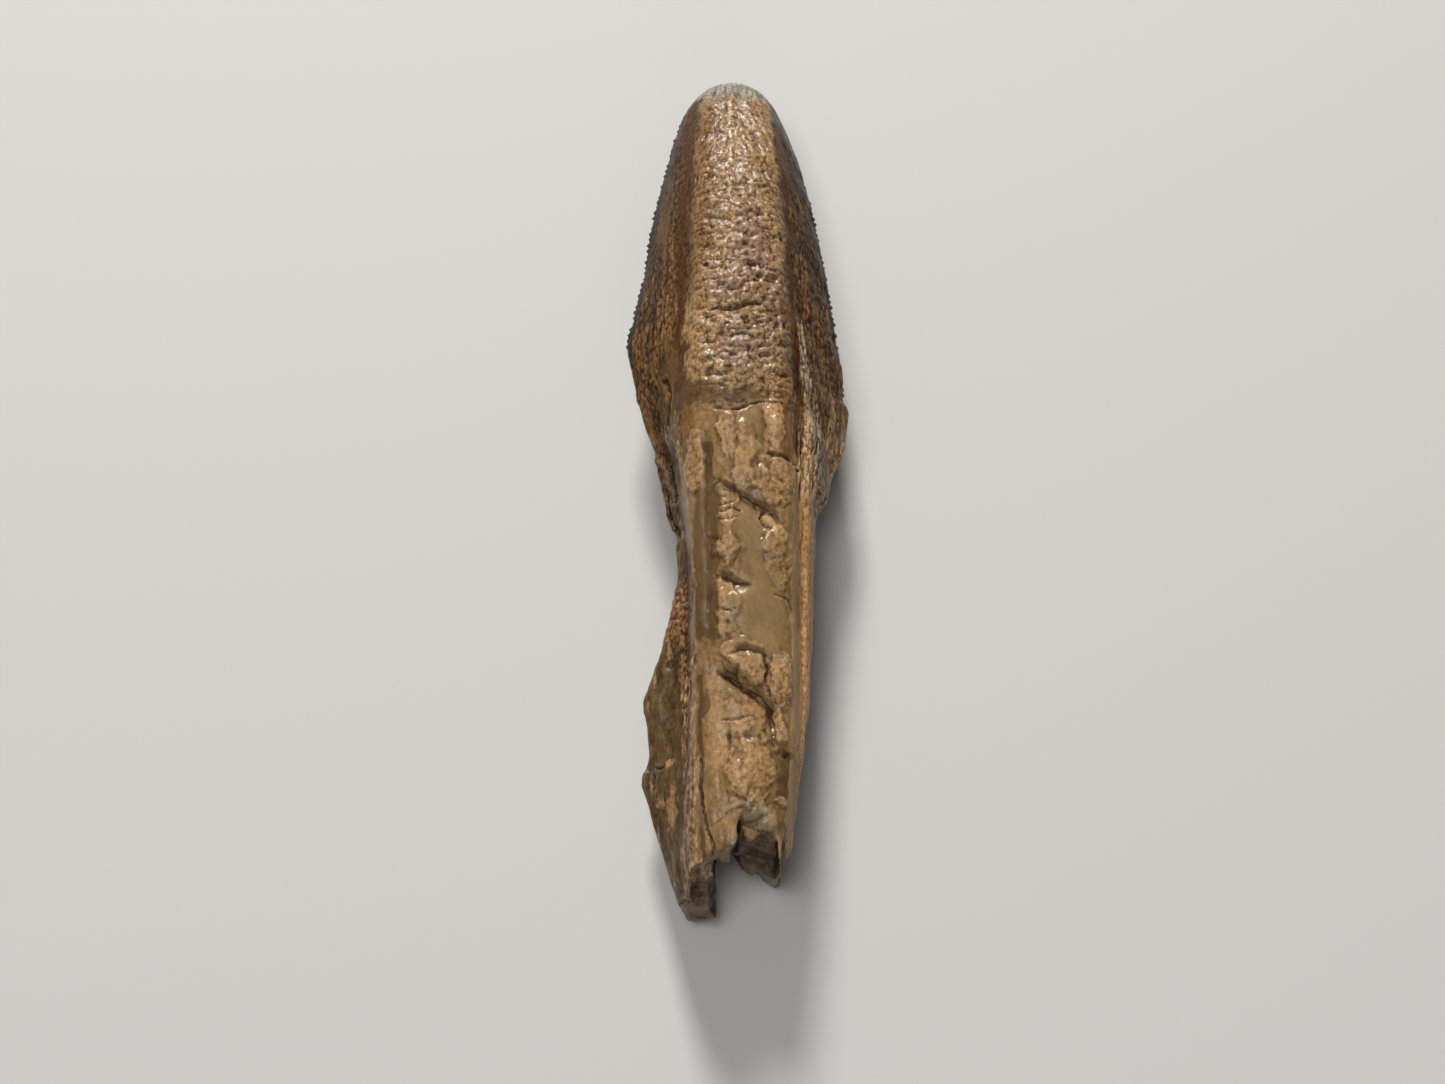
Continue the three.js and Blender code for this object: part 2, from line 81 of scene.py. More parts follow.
def srgb(red, green, blue):
    """A colour given as screen values from 0 to 255, in Blender's linear values."""
    shares = (value / 255 for value in (red, green, blue))
    return tuple(s / 12.92 if s <= 0.04045 else ((s + 0.055) / 1.055) ** 2.4 for s in shares)


def length_setting(name, description, default):
    """A length in metres that a user can change."""
    return bpy.props.FloatProperty(
        name=name, description=description, default=default, min=0, unit="LENGTH", precision=5
    )


def colour_setting(name, description, *screen_values):
    """A colour that a user can change."""
    default = srgb(*screen_values)
    return bpy.props.FloatVectorProperty(
        name=name, description=description, default=default, min=0, max=1, subtype="COLOR"
    )


class ToothSizes(bpy.types.PropertyGroup):
    """Sizes of the skin and of what is carved in it."""

    skin_step: length_setting("Skin step", "Width of the squares of the finished skin", 0.00015)
    denticle_pitch: length_setting("Denticle pitch", "Distance from one denticle to the next", 0.0006)
    denticle_radius: length_setting("Denticle radius", "Radius of a denticle before it varies", 0.00017)
    grain: length_setting("Grain", "Height of the grains on the crown's ridge", 0.0001)
    fibre: length_setting("Fibre", "Height of the fibres on the crown's wings and the neck", 0.0001)
    coat: length_setting("Coat", "Height of the swells and grains on the root and its strip", 0.0001)
    flange: length_setting("Flange", "Height of the lumps and crusts on the flange", 0.0002)
    enamel: length_setting("Enamel", "Height of the ribs and swells on the underside", 0.00005)
    breakage: length_setting("Breakage", "Height of the steps on the broken end", 0.00012)
    most_triangles: bpy.props.IntProperty(
        name="Most triangles",
        description="Triangles that the skin is thinned to",
        default=198000,
        min=1000,
    )


class ToothColours(bpy.types.PropertyGroup):
    """Colours of the tooth's zones."""

    ridge: colour_setting("Ridge", "Tan grains of the crown's middle ridge", 166, 134, 96)
    wing: colour_setting("Wing", "Dark brown fibres of the crown's wings", 88, 61, 33)
    gilt: colour_setting("Gilt", "Golden fibres that run through the wings", 140, 101, 55)
    valley: colour_setting("Valley", "Golden brown floor beside the ridge", 92, 58, 22)
    gold: colour_setting("Gold", "Golden left flank of the ridge", 138, 100, 48)
    amber: colour_setting("Amber", "Amber brown stains beside the ridge and the neck", 122, 82, 36)
    rim: colour_setting("Rim", "Dark grey margin of the crown", 44, 40, 36)
    tip: colour_setting("Tip", "Pale grey worn tip", 168, 160, 146)
    enamel: colour_setting("Enamel", "Dark enamel under the crown", 62, 62, 60)
    column: colour_setting("Column", "Brown body of the root", 146, 116, 78)
    olive: colour_setting("Olive", "Smooth olive coat in the root's hollows", 144, 120, 84)
    ochre: colour_setting("Ochre", "Rough ochre that stands through the coat", 182, 146, 102)
    brown: colour_setting("Brown", "Smooth dark brown of stained hollows", 98, 74, 46)
    groove: colour_setting("Groove", "Smooth brown of the long groove left in the root", 100, 76, 46)
    # painted highlight: the pale colour of the glint stroke along the ridge's top near the tip
    crest: colour_setting("Crest", "Pale polished crest of the ridge near the tip", 208, 190, 162)
    mauve: colour_setting("Mauve", "Mauve brown grains low on the ridge", 148, 116, 100)
    flange: colour_setting("Flange", "Olive brown bone of the flange", 100, 79, 50)
    crust: colour_setting("Crust", "Orange crust on the flange", 146, 102, 60)
    tan: colour_setting("Tan", "Light tan crumbs and streaks", 172, 138, 100)
    strip: colour_setting("Strip", "Light rust strip on the root's right side", 220, 168, 118)
    pink: colour_setting("Pink", "Pinkish edge of the root's left side", 208, 171, 134)
    pale: colour_setting("Pale", "Pale mineral on fine ribs and scratches", 168, 150, 122)
    strand: colour_setting("Strand", "Pale grey strands beside the neck", 178, 164, 140)
    steel: colour_setting("Steel", "Grey enamel that shows along the right margin", 114, 112, 106)
    broken: colour_setting("Broken", "Grey brown facets of the broken end", 122, 100, 74)
    shoulder: colour_setting("Shoulder", "Light tan fibres of the right shoulder", 212, 181, 138)
    # painted shade: nearly black colour for the sideways walls of the broken end
    inside: colour_setting("Inside", "Dark walls inside the broken end", 26, 19, 14)
    # painted shade: dark brown for the low, recessed facets of the broken end
    dusk: colour_setting("Dusk", "Dark brown facets low in the broken end", 100, 78, 58)
    grey: colour_setting("Grey", "Pale grey brown mineral of chips", 176, 156, 128)


# ------------------------------------------------------------------ lines and marks on the tooth
# All are in mm: across to the right of the long axis, down from the tip. A line gives a value for
# each distance down, and a route is a list of (across, down) places.

# borders of the crown's ridge and of the root's column
RIDGE_LEFT = ((0, -0.2), (0.7, -1.2), (4.2, -2.1), (12, -2.4), (20, -2.7), (30, -2.9), (38, -2.7))
RIDGE_RIGHT = ((0, 0.6), (0.7, 1.9), (4.2, 3.6), (12, 4.3), (20, 4.6), (30, 4.9), (38, 5.5))
COLUMN_LEFT = ((38, -4.8), (44, -4.4), (48, -3.9), (53, -3), (60, -2.6), (80, -2.4))
COLUMN_RIGHT = ((38, 5.5), (46, 5.7), (56, 5.6), (66, 5.5), (74, 4.9), (80, 4))

# outer edges of the tooth, and how high the crown's margins lie
EDGE_LEFT = (
    (0, -0.2), (0.7, -2.5), (4.2, -4.5), (8.7, -5.6), (15.4, -7), (22, -7.9), (29, -9.3),
    (35, -8.1), (39.6, -6.6), (45, -5.6), (50, -4.5), (56, -5.6), (62, -7.6), (69, -7.5),
    (75, -5.7), (80, -4),
)
EDGE_RIGHT = (
    (0, 0.6), (0.7, 2.8), (4.2, 5.1), (8.7, 6.7), (15.4, 8.2), (22, 9.2), (28, 10), (34, 10.6),
    (39, 10.7), (44.7, 8.6), (53, 7.6), (60, 7.3), (70, 6.2), (76, 4.8), (80, 4),
)
MARGIN_HEIGHT = ((0, 5.6), (8.7, 6.4), (15.4, 6.9), (28, 7.4), (38, 7.2), (45, 6.8))

# cracks: route, half width, depth
CRACKS = (
    (((-1.8, 29), (-0.9, 28.7), (0.6, 28.9), (1.5, 28.6), (3, 28.5)), 0.2, 0.3),
    (((-1.3, 38.5), (-0.5, 38.7), (1.3, 38.5), (2.4, 38.4), (4.1, 38), (4.8, 37.9)), 0.12, 0.2),
    (((-5.6, 29.2), (-5.2, 28.8), (-4.9, 29.3), (-4.8, 30.2)), 0.1, 0.12),
    (((0.3, 27.2), (1.2, 26.9), (1.9, 26.2), (2.9, 26.1)), 0.16, 0.25),
    (((1.7, 31), (2.5, 30.6), (3.1, 30.8)), 0.15, 0.22),
    (((0.2, 32), (1.6, 31.5), (2.3, 31.6)), 0.14, 0.2),
    (((-1.2, 33.6), (-0.2, 33.2), (0.8, 33.6)), 0.14, 0.2),
    (((-5.6, 33.6), (-5, 35.3), (-5.3, 37.6)), 0.18, 0.3),
    (((-5, 40.8), (-4.8, 42.2), (-4.5, 43.7)), 0.22, 0.4),
    (((-5.6, 42.8), (-5.2, 44.6), (-4.7, 46.4)), 0.2, 0.35),
    (((3.4, 42.7), (4.9, 42.9), (6.2, 43.4)), 0.16, 0.25),
    (((3.1, 47.9), (2.7, 48.4), (3.1, 49.1), (3.8, 49.2)), 0.16, 0.25),
    (((-0.7, 47.9), (0.2, 47.7), (1, 48)), 0.14, 0.22),
    (((-0.9, 47.2), (0, 47.3), (0.6, 47.1)), 0.1, 0.14),
    (((-0.9, 48.6), (0.1, 48.8), (0.8, 48.6)), 0.1, 0.14),
    (((-0.7, 56.6), (0.1, 56.8), (0.7, 56.6)), 0.1, 0.12),
    (((4, 55.2), (5, 55.6), (5.5, 56.4)), 0.1, 0.15),
    (((3.1, 60.6), (3.3, 61.6), (3.15, 62.7), (3.5, 64)), 0.14, 0.24),
    (((-0.5, 66.2), (0.8, 66), (2.1, 65.8)), 0.1, 0.14),
    (((-2.4, 69.3), (-2.3, 71.3), (-1.8, 74.2), (-1.2, 76.8)), 0.16, 0.3),
    (((-1.2, 74.4), (-0.2, 73.8), (1.2, 73.2)), 0.18, 0.05),
)

# ledges: route, depth, how far they run out towards the root
LEDGES = (
    (((-0.9, 45), (0, 45.5), (2.3, 47.1), (4, 47.8), (5, 48.6)), 0.12, 1.2),
    (((-1.6, 49.9), (-0.9, 50.1), (-0.4, 50.4)), 0.12, 0.8),
    (((-0.9, 53.3), (0, 53.5), (0.8, 54), (1.9, 54.4)), 0.2, 0.8),
    (((0.3, 60.2), (0.8, 59.8), (1.9, 59.7), (2.5, 60.1), (3.7, 60.5)), 0.2, 0.6),
    (((-0.7, 61.8), (0.3, 62.1), (1.6, 63), (2.7, 63.9), (3.7, 65.1), (4.2, 66.7), (4, 68)), 0.32, 1),
)

# rough islands that stand on the smooth coat of the root: across, down, half width, half length, and a
# height that counts against the highest one's
ISLAND_HEIGHT = 0.18  # of the highest island
ISLANDS = (
    (-0.1, 41, 0.8, 2.6, 0.14), (1.4, 43.2, 1, 3.2, 0.1), (4.05, 40.4, 0.9, 2.5, 0.12),
    (3.9, 45.2, 1.3, 2.4, 0.12), (-3, 43, 0.85, 2.4, 0.12), (-0.1, 47.6, 0.9, 2.2, 0.08),
    (3.6, 48.7, 0.9, 0.7, 0.06), (-0.1, 51.5, 1.25, 1.3, 0.14), (3.9, 50.6, 1.3, 1.9, 0.12),
    (4.4, 52.8, 1, 1.8, 0.12), (0, 56.4, 0.95, 2.8, 0.12), (1, 60.2, 1.5, 1.3, 0.16),
    (1.9, 62, 1, 1.5, 0.2), (4.5, 62.7, 0.85, 2.4, 0.2), (4.2, 66, 0.4, 1.2, 0.14),
    (4.6, 67.4, 0.65, 0.75, 0.2), (1.6, 66, 1.6, 2, 0.08), (2, 70.2, 1.8, 3, 0.12),
    (4.5, 67.5, 0.4, 0.4, 0.2), (4.3, 72.9, 0.6, 0.4, 0.22), (2.1, 75.1, 0.9, 0.25, 0.16),
)

# pits: across, down, half width, half length, depth
PITS = (
    (2.2, 24.3, 0.4, 0.3, 0.18), (3.1, 24.5, 0.3, 0.4, 0.24), (2.9, 25.4, 0.5, 0.25, 0.2),
    (1.6, 25.8, 0.5, 0.25, 0.16), (4.3, 25.9, 0.3, 0.4, 0.18), (3.4, 33.6, 0.4, 0.25, 0.14),
    (-1.6, 35, 0.3, 0.4, 0.2), (0.3, 67.7, 0.3, 0.45, 0.12), (4.6, 68.6, 0.7, 0.3, 0.1),
    (3.2, 67.2, 0.2, 0.4, 0.15), (-5.1, 58.7, 0.3, 0.3, 0.12), (-3.7, 62.9, 0.2, 0.2, 0.25),
    (-6, 67.8, 0.4, 0.15, 0.2), (-6.3, 69.3, 0.15, 0.7, 0.3), (-4.6, 46.7, 0.4, 0.3, 0.5),
)

# routes that are both raised as ribs and coloured
NECK_RIB = ((-5.6, 38.2), (-4.7, 40), (-4.2, 42), (-3.4, 46.8))
COLUMN_WALL = ((-3.1, 50), (-2.8, 54), (-2.65, 60))
STRIP_LIP = ((6, 50.5), (5.9, 56), (5.8, 62), (5.7, 68), (5.4, 73))
SHORT_RIB = ((-4.7, 38.6), (-4, 41.7))

# ribs: route, half width, height
RIBS = (
    (((0.3, 3), (0.3, 8), (0.35, 13), (0.2, 17)), 0.34, 0.09),
    (NECK_RIB + COLUMN_WALL, 0.16, 0.07),
    (STRIP_LIP, 0.3, 0.03),
    (SHORT_RIB, 0.12, 0.05),
    (((-3, 60), (-2.9, 66), (-3, 74), (-2.9, 80)), 0.4, 0.08),
)

# width of the dark rim along the right margin of the crown, by distance down
RIM_WIDTH = ((0, 0.9), (3, 1.2), (10, 1.1), (14, 0.6), (30, 0.45), (38, 0.35))

# height of the pale strands beside the neck, and the sides of their belt by distance down
STRAND_HEIGHT = 0.12
STRANDS_LEFT = ((28, 6.1), (34, 6.45), (40, 7.25), (46, 7.9))
STRANDS_RIGHT = ((28, 6.6), (34, 7.3), (40, 8.6), (46, 9.2))

# patches of one finish: across, down, half width, half length
PATCHES = {
    "olive": (
        (2.7, 40.6, 0.8, 2.2), (1.8, 50.5, 1, 3), (2.4, 56.8, 2.6, 4),
    ),
    "ochre": (
        (-3, 31.5, 0.9, 4.5), (-1, 66, 1, 5),
    ),
    "brown": (
        (4.5, 70.6, 0.9, 2.6), (-2.4, 36.8, 2.8, 1.3), (1, 37.3, 2.6, 0.9), (-5.8, 15, 0.7, 7),
        (-5.2, 33, 0.8, 3), (-1.8, 64.4, 0.4, 1.2),
    ),
    "amber": (
        (5.6, 39.6, 1, 3.4), (5.1, 31.5, 0.6, 6), (-3.7, 40.5, 0.8, 3), (-1.4, 10, 0.9, 5),
        (-1.9, 20, 0.7, 5),
    ),
    "crust": (
        (-3.9, 54.6, 1.5, 3.4), (-3.6, 59.5, 0.8, 1.6),
    ),
    "mauve": (
        (2.2, 22, 1.6, 4), (0.6, 26.6, 2.2, 1.6), (3.9, 28.5, 0.6, 5), (1.2, 33, 1.8, 2.2),
    ),
    "grey": (
        (1.6, 41.9, 0.3, 0.4), (4.8, 60.5, 0.3, 0.4), (-1.1, 61.6, 0.3, 0.3), (2.4, 74, 1.5, 1),
        (-1.7, 77.9, 0.5, 0.5),
    ),
    # painted shade on the low, recessed facets of the broken end
    "dusk": (
        (-2.4, 79.5, 0.8, 1.1), (-2.2, 81, 1.4, 0.9), (2.4, 77.2, 1.7, 1.5),
    ),
    "tan": (
        (-4.7, 72, 0.4, 1.8), (-5.2, 67.6, 0.4, 0.5), (4.3, 72.9, 0.5, 0.35),
        (2.1, 75.1, 0.9, 0.25), (0, 51.5, 1, 1), (0.9, 60.6, 1.3, 1.1),
    ),
    # real stains, and painted shadows under small knobs and steps
    "stain": (
        (0.4, 67.8, 0.35, 0.5), (4.9, 68.7, 0.7, 0.4), (3.3, 61.9, 0.25, 1),
    ),
}

# long marks of one finish: route, half width
STROKES = {
    # painted highlight: a pale broken line along the ridge's top near the tip, also given a full glossy
    # coat
    "glint": (
        (((0.3, 4), (0.3, 8), (0.35, 13)), 0.22),
    ),
    "steel": (
        (((3.6, 2.2), (5.2, 5.5), (6.5, 9), (7.9, 14)), 0.4),
        (((-1, 2.3), (1.2, 2.1), (2.8, 2.5)), 0.4),
    ),
    "groove": (
        (((-1.9, 41.8), (-1.7, 43.5), (-1.3, 46.5)), 0.45),
        (((-1.7, 46), (-1.9, 50), (-1.9, 54), (-1.8, 58.6)), 1.05),
        (((-2.3, 62), (-2.2, 70), (-2.1, 78)), 0.2),
    ),
    "pink": (
        (((-3.3, 60), (-3.2, 66), (-3.2, 74), (-3, 80)), 0.7),
    ),
    "edge": (
        (NECK_RIB[-1:] + COLUMN_WALL, 0.12),
        (STRIP_LIP, 0.14),
    ),
    "pale": (
        (NECK_RIB, 0.14),
        (((4.75, 73.6), (4.6, 75.5), (4.35, 77.5)), 0.14),
        (((-3.1, 80.1), (-2.4, 80.5), (-1.7, 80.2)), 0.08),
        (SHORT_RIB, 0.1),
        (((-3.1, 29.4), (-2.2, 31), (-1.9, 31.6)), 0.1),
        (((-2.6, 32), (-1.9, 33.2)), 0.09),
        (((-5.5, 24), (-5.4, 28.6)), 0.08),
    ),
}

# strokes that cover their whole width, where the others break up into patches
WHOLE_STROKES = ("groove",)

# zones whose finest texture is threads, not grains
FIBROUS = ("wing", "shoulder", "neck_left", "pink", "tip", "flange", "strand")

# how gritty the tooth is where no zone says more, and how gritty the zones are, from the bottom one up
PLAIN_GRIT = 0.3
GRIT = (
    ("wing", 1), ("shoulder", 1.1), ("neck_left", 0.7), ("valley", 0.5), ("ridge", 1),
    ("flange", 0.5), ("crust", 1), ("strip", 0.6), ("pink", 0.8), ("strand", 1.4), ("island", 0.85),
    ("olive", 0.15), ("groove", 0.15), ("brown", 0.25), ("lip", 0.2), ("rim", 0.5), ("tip", 0.7),
    ("enamel", 0.15), ("broken", 0.4),
)

# how much glossy coat the tooth carries where no zone says more, and how much the zones carry, from
# the bottom one up
PLAIN_POLISH = 0.45
POLISH = (
    ("wing", 0.15), ("valley", 0.05), ("ridge", 0.6), ("glint", 1), ("flange", 0.35),
    ("island", 0.5), ("olive", 0.25), ("brown", 0.15), ("enamel", 0.8), ("strip", 0.1),
    ("lip", 0.1), ("pink", 0.15), ("edge", 0.1), ("broken", 0.3), ("inside", 0), ("dusk", 0.15),
)


# ------------------------------------------------------------------ shape of numbers


def step(value, low, high):
    """0 below low, 1 above high and smooth between them."""
    t = np.clip((value - low) / (high - low), 0, 1)
    return t * t * (3 - 2 * t)


def band(value, low, high, soft):
    """1 between low and high, with soft flanks."""
    return step(value, low - soft, low + soft) * (1 - step(value, high - soft, high + soft))


def bump(value, centre, wide):
    """1 at the centre and about 0 past the width."""
    return np.exp(-(((value - centre) / wide) ** 2) * 2)


def on_line(line, down):
    """Value of a line of (down, value) at distances down the tooth."""
    downs, values = zip(*line)
    return np.interp(down, downs, values)


def lattice_number(cell, seed):
    """A number from 0 to 1 for each whole-numbered cell, always the same one for the same seed."""
    # large odd numbers that scatter the bits of the sum
    mixed = cell[:, 0] * 374761393 + cell[:, 1] * 668265263 + cell[:, 2] * 912271 + seed * 1274126177
    mixed &= 0xFFFFFFFF
    mixed = ((mixed ^ (mixed >> 13)) * 1274126177) & 0xFFFFFFFF
    mixed ^= mixed >> 16
    return mixed / 0xFFFFFFFF


def soft_noise(points, size, seed):
    """Smooth noise from -1 to 1, its lumps about size across: one number, or one for each axis."""
    places = points / np.asarray(size, float)
    cell = np.floor(places).astype(np.int64)
    part = places - cell
    blend = part * part * part * (part * (part * 6 - 15) + 10)
    total = np.zeros(len(points))
    for corner in np.ndindex(2, 2, 2):
        weight = np.prod(np.where(corner, blend, 1 - blend), axis=1)
        total += weight * lattice_number(cell + np.array(corner), seed)
    return total * 2 - 1


def layered_noise(points, size, seed, layers=3):
    """Soft noise with finer and weaker layers on top of it, from about -1 to 1."""
    size = np.asarray(size, float)
    total = sum(soft_noise(points, size / 2**k, seed + k) / 2**k for k in range(layers))
    return total / (2 - 0.5 ** (layers - 1))


def grain_noise(points, size, seed):
    """Packed round grains about size across: 1 on top of a grain, 0 and below in the seams."""
    places = points / np.asarray(size, float)
    cell = np.floor(places).astype(np.int64)
    nearest = np.full(len(points), 9.0)
    for offset in np.ndindex(3, 3, 3):
        neighbour = cell + np.array(offset) - 1
        centre = neighbour + np.stack([lattice_number(neighbour, seed + k) for k in range(3)], axis=1)
        nearest = np.minimum(nearest, ((places - centre) ** 2).sum(axis=1))
    return 1 - 1.6 * nearest


def creases(noise, width):
    """1 along the lines where a noise passes through 0, 0 away from them."""
    return 1 - step(np.abs(noise), 0, width)


def beside_route(across, down, route):
    """Distance to a route, which side of it a point is on and how far it is past the route's ends.

    The side is 1 towards the root, for a route that runs to the right.
    """
    nearest = np.full(len(across), 1e9)
    side = np.zeros(len(across))
    past = np.zeros(len(across))
    last = len(route) - 2
    for i, (start, end) in enumerate(zip(route, route[1:])):
        run_across, run_down = end[0] - start[0], end[1] - start[1]
        length = math.hypot(run_across, run_down)
        to_across, to_down = across - start[0], down - start[1]
        along = (to_across * run_across + to_down * run_down) / length
        held = np.clip(along, 0, length)
        distance = np.hypot(to_across - held * run_across / length, to_down - held * run_down / length)
        over = np.zeros(len(across))
        if i == 0:
            over = np.maximum(over, -along)
        if i == last:
            over = np.maximum(over, along - length)
        closer = distance < nearest
        nearest = np.where(closer, distance, nearest)
        side = np.where(closer, np.sign(run_across * to_down - run_down * to_across), side)
        past = np.where(closer, over, past)
    return nearest, side, past


# ------------------------------------------------------------------ meshes


def new_object(name, data):
    """An object for a mesh, a curve, a light or a camera, added to the scene."""
    thing = bpy.data.objects.new(name, data)
    bpy.context.scene.collection.objects.link(thing)
    return thing


def merged_copy(node, name):
    """A copy of a CAD node's mesh with its loose triangles joined up."""
    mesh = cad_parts[node].data.copy()
    mesh.materials.clear()
    form = bmesh.new()
    form.from_mesh(mesh)
    bmesh.ops.remove_doubles(form, verts=form.verts, dist=1e-6)
    form.to_mesh(mesh)
    form.free()
    return new_object(name, mesh)


def evaluated_mesh(thing):
    """A plain mesh of an object with its modifiers applied."""
    graph = bpy.context.evaluated_depsgraph_get()
    return bpy.data.meshes.new_from_object(thing.evaluated_get(graph))


def settle_modifiers(thing):
    """Puts a mesh object's evaluated mesh in place of its mesh and modifiers."""
    made = evaluated_mesh(thing)
    thing.modifiers.clear()
    old = thing.data
    thing.data = made
    bpy.data.meshes.remove(old)


def remesh(thing, size):
    """One closed skin of even squares around everything in the object."""
    modifier = thing.modifiers.new("skin", "REMESH")
    modifier.mode = "VOXEL"
    modifier.voxel_size = size
    settle_modifiers(thing)


def read_vectors(items, field):
    """One vector for each item, as the rows of an array."""
    found = np.empty(len(items) * 3, np.float32)
    items.foreach_get(field, found)
    return found.reshape(-1, 3).astype(float)


def read_points(mesh):
    """The mesh's points in millimetres."""
    return read_vectors(mesh.vertices, "co") / MM


def write_points(mesh, points):
    """Moves the mesh's points to places in millimetres."""
    mesh.vertices.foreach_set("co", (points * MM).astype(np.float32).ravel())
    mesh.update()


def read_normals(mesh):
    """The direction that the mesh faces at each point."""
    return read_vectors(mesh.vertex_normals, "vector")


class Net:
    """The edges between a mesh's points, for averaging values over neighbours."""

    def __init__(self, mesh):
        ends = np.empty(len(mesh.edges) * 2, np.int32)
        mesh.edges.foreach_get("vertices", ends)
        self.first, self.second = ends.reshape(-1, 2).T
        self.count = len(mesh.vertices)
        first_uses = np.bincount(self.first, minlength=self.count)
        self.neighbours = (first_uses + np.bincount(self.second, minlength=self.count))[:, None]

    def around(self, points):
        """The mean place of each point's neighbours."""
        sums = []
        for values in points.T:
            from_second = np.bincount(self.first, values[self.second], self.count)
            sums.append(from_second + np.bincount(self.second, values[self.first], self.count))
        return np.stack(sums, axis=1) / self.neighbours

    def relaxed(self, points, pulls):
        """The points after being pulled towards their neighbours once for each pull."""
        for pull in pulls:
            points = points + pull * (self.around(points) - points)
        return points


def smooth(mesh, rounds):
    """Takes the edges of facets and squares out of the mesh without shrinking it."""
    pull_in, push_out = 0.6, -0.61
    write_points(mesh, Net(mesh).relaxed(read_points(mesh), (pull_in, push_out) * rounds))


def thin_underside(thing, most_triangles):
    """Uses few triangles where the tooth faces down, so that the skin stays under its limit."""
    group = thing.vertex_groups.new(name="underside")
    weight = 1 - step(read_normals(thing.data)[:, 2], 0.1, 0.5)
    levels = 8
    for level in range(1, levels + 1):
        chosen = np.flatnonzero(np.ceil(weight * levels) == level)
        group.add(chosen.tolist(), level / levels, "REPLACE")
    triangles = sum(len(face.vertices) - 2 for face in thing.data.polygons)
    modifier = thing.modifiers.new("thin", "DECIMATE")
    modifier.ratio = most_triangles / triangles
    modifier.vertex_group = group.name
    modifier.vertex_group_factor = 10  # how strongly the thinning keeps to the group
    modifier.use_collapse_triangulate = True
    settle_modifiers(thing)
    thing.vertex_groups.clear()


# ------------------------------------------------------------------ denticles along the margins

# the rows of denticles: edge, start and end by distance down
DENTICLE_RUNS = ((EDGE_LEFT, 1.4, 29), (EDGE_RIGHT, 1.8, 34))
DENTICLE_SCALE = (0.4, 1.2)  # smallest and largest denticle, as shares of the set radius
DENTICLE_SEED = 7


def margin_path(edge, start, end):
    """Points along one margin of the crown, between two distances down from the tip."""
    spacing = 0.5
    down = np.arange(start, end, spacing)
    return np.stack([on_line(edge, down) + AXIS_X, TIP_Y - down, on_line(MARGIN_HEIGHT, down)], axis=1)


def margin_curve(name, runs):
    """A curve object with one open line for each margin."""
    curve = bpy.data.curves.new(name, "CURVE")
    curve.dimensions = "3D"
    for run in runs:
        spline = curve.splines.new("POLY")
        spline.points.add(len(run) - 1)
        for point, place in zip(spline.points, run):
            point.co = (*(place * MM), 1)
    return new_object(name, curve)


def denticle_tree(material):
    """Node tree that sets a small round denticle at every pitch along a curve."""
    tree = bpy.data.node_groups.new("Margin denticles", "GeometryNodeTree")
    sockets = (("Margins", "Geometry"), ("Pitch", "Float"), ("Radius", "Float"), ("Seed", "Int"))
    for name, kind in sockets:
        tree.interface.new_socket(name, in_out="INPUT", socket_type="NodeSocket" + kind)
    tree.interface.new_socket("Denticles", in_out="OUTPUT", socket_type="NodeSocketGeometry")
    add, link = tree.nodes.new, tree.links.new
    given = add("NodeGroupInput")
    points = add("GeometryNodeCurveToPoints")
    points.mode = "LENGTH"
    link(given.outputs["Margins"], points.inputs["Curve"])
    link(given.outputs["Pitch"], points.inputs["Length"])
    bead = add("GeometryNodeMeshIcoSphere")
    bead.inputs["Subdivisions"].default_value = 2
    link(given.outputs["Radius"], bead.inputs["Radius"])
    varied = add("FunctionNodeRandomValue")
    varied.data_type = "FLOAT"
    varied.inputs[2].default_value, varied.inputs[3].default_value = DENTICLE_SCALE
    link(given.outputs["Seed"], varied.inputs["Seed"])
    instances = add("GeometryNodeInstanceOnPoints")
    link(points.outputs["Points"], instances.inputs["Points"])
    link(bead.outputs["Mesh"], instances.inputs["Instance"])
    link(points.outputs["Rotation"], instances.inputs["Rotation"])
    link(varied.outputs[1], instances.inputs["Scale"])
    real = add("GeometryNodeRealizeInstances")
    link(instances.outputs["Instances"], real.inputs["Geometry"])
    coated = add("GeometryNodeSetMaterial")
    coated.inputs["Material"].default_value = material
    link(real.outputs["Geometry"], coated.inputs["Geometry"])
    out = add("NodeGroupOutput")
    link(coated.outputs["Geometry"], out.inputs["Denticles"])
    return tree


def grow(thing, tree, values):
    """Runs a node tree on an object with its named inputs set. Only the plain mesh it makes is kept."""
    modifier = thing.modifiers.new(tree.name, "NODES")
    modifier.node_group = tree
    inputs = [item for item in tree.interface.items_tree if item.in_out == "INPUT"]
    sockets = {item.name: item.identifier for item in inputs}
    for name, value in values.items():
        modifier[sockets[name]] = value
    made = new_object(thing.name + "_mesh", evaluated_mesh(thing))
    bpy.data.objects.remove(thing)
    return made


def join(thing, other):
    """Adds the other object's mesh to the first one's."""
    form = bmesh.new()
    form.from_mesh(thing.data)
    form.from_mesh(other.data)
    bpy.data.objects.remove(other)
    form.to_mesh(thing.data)
    form.free()
    thing.data.materials.clear()


# ------------------------------------------------------------------ the skin and its zones


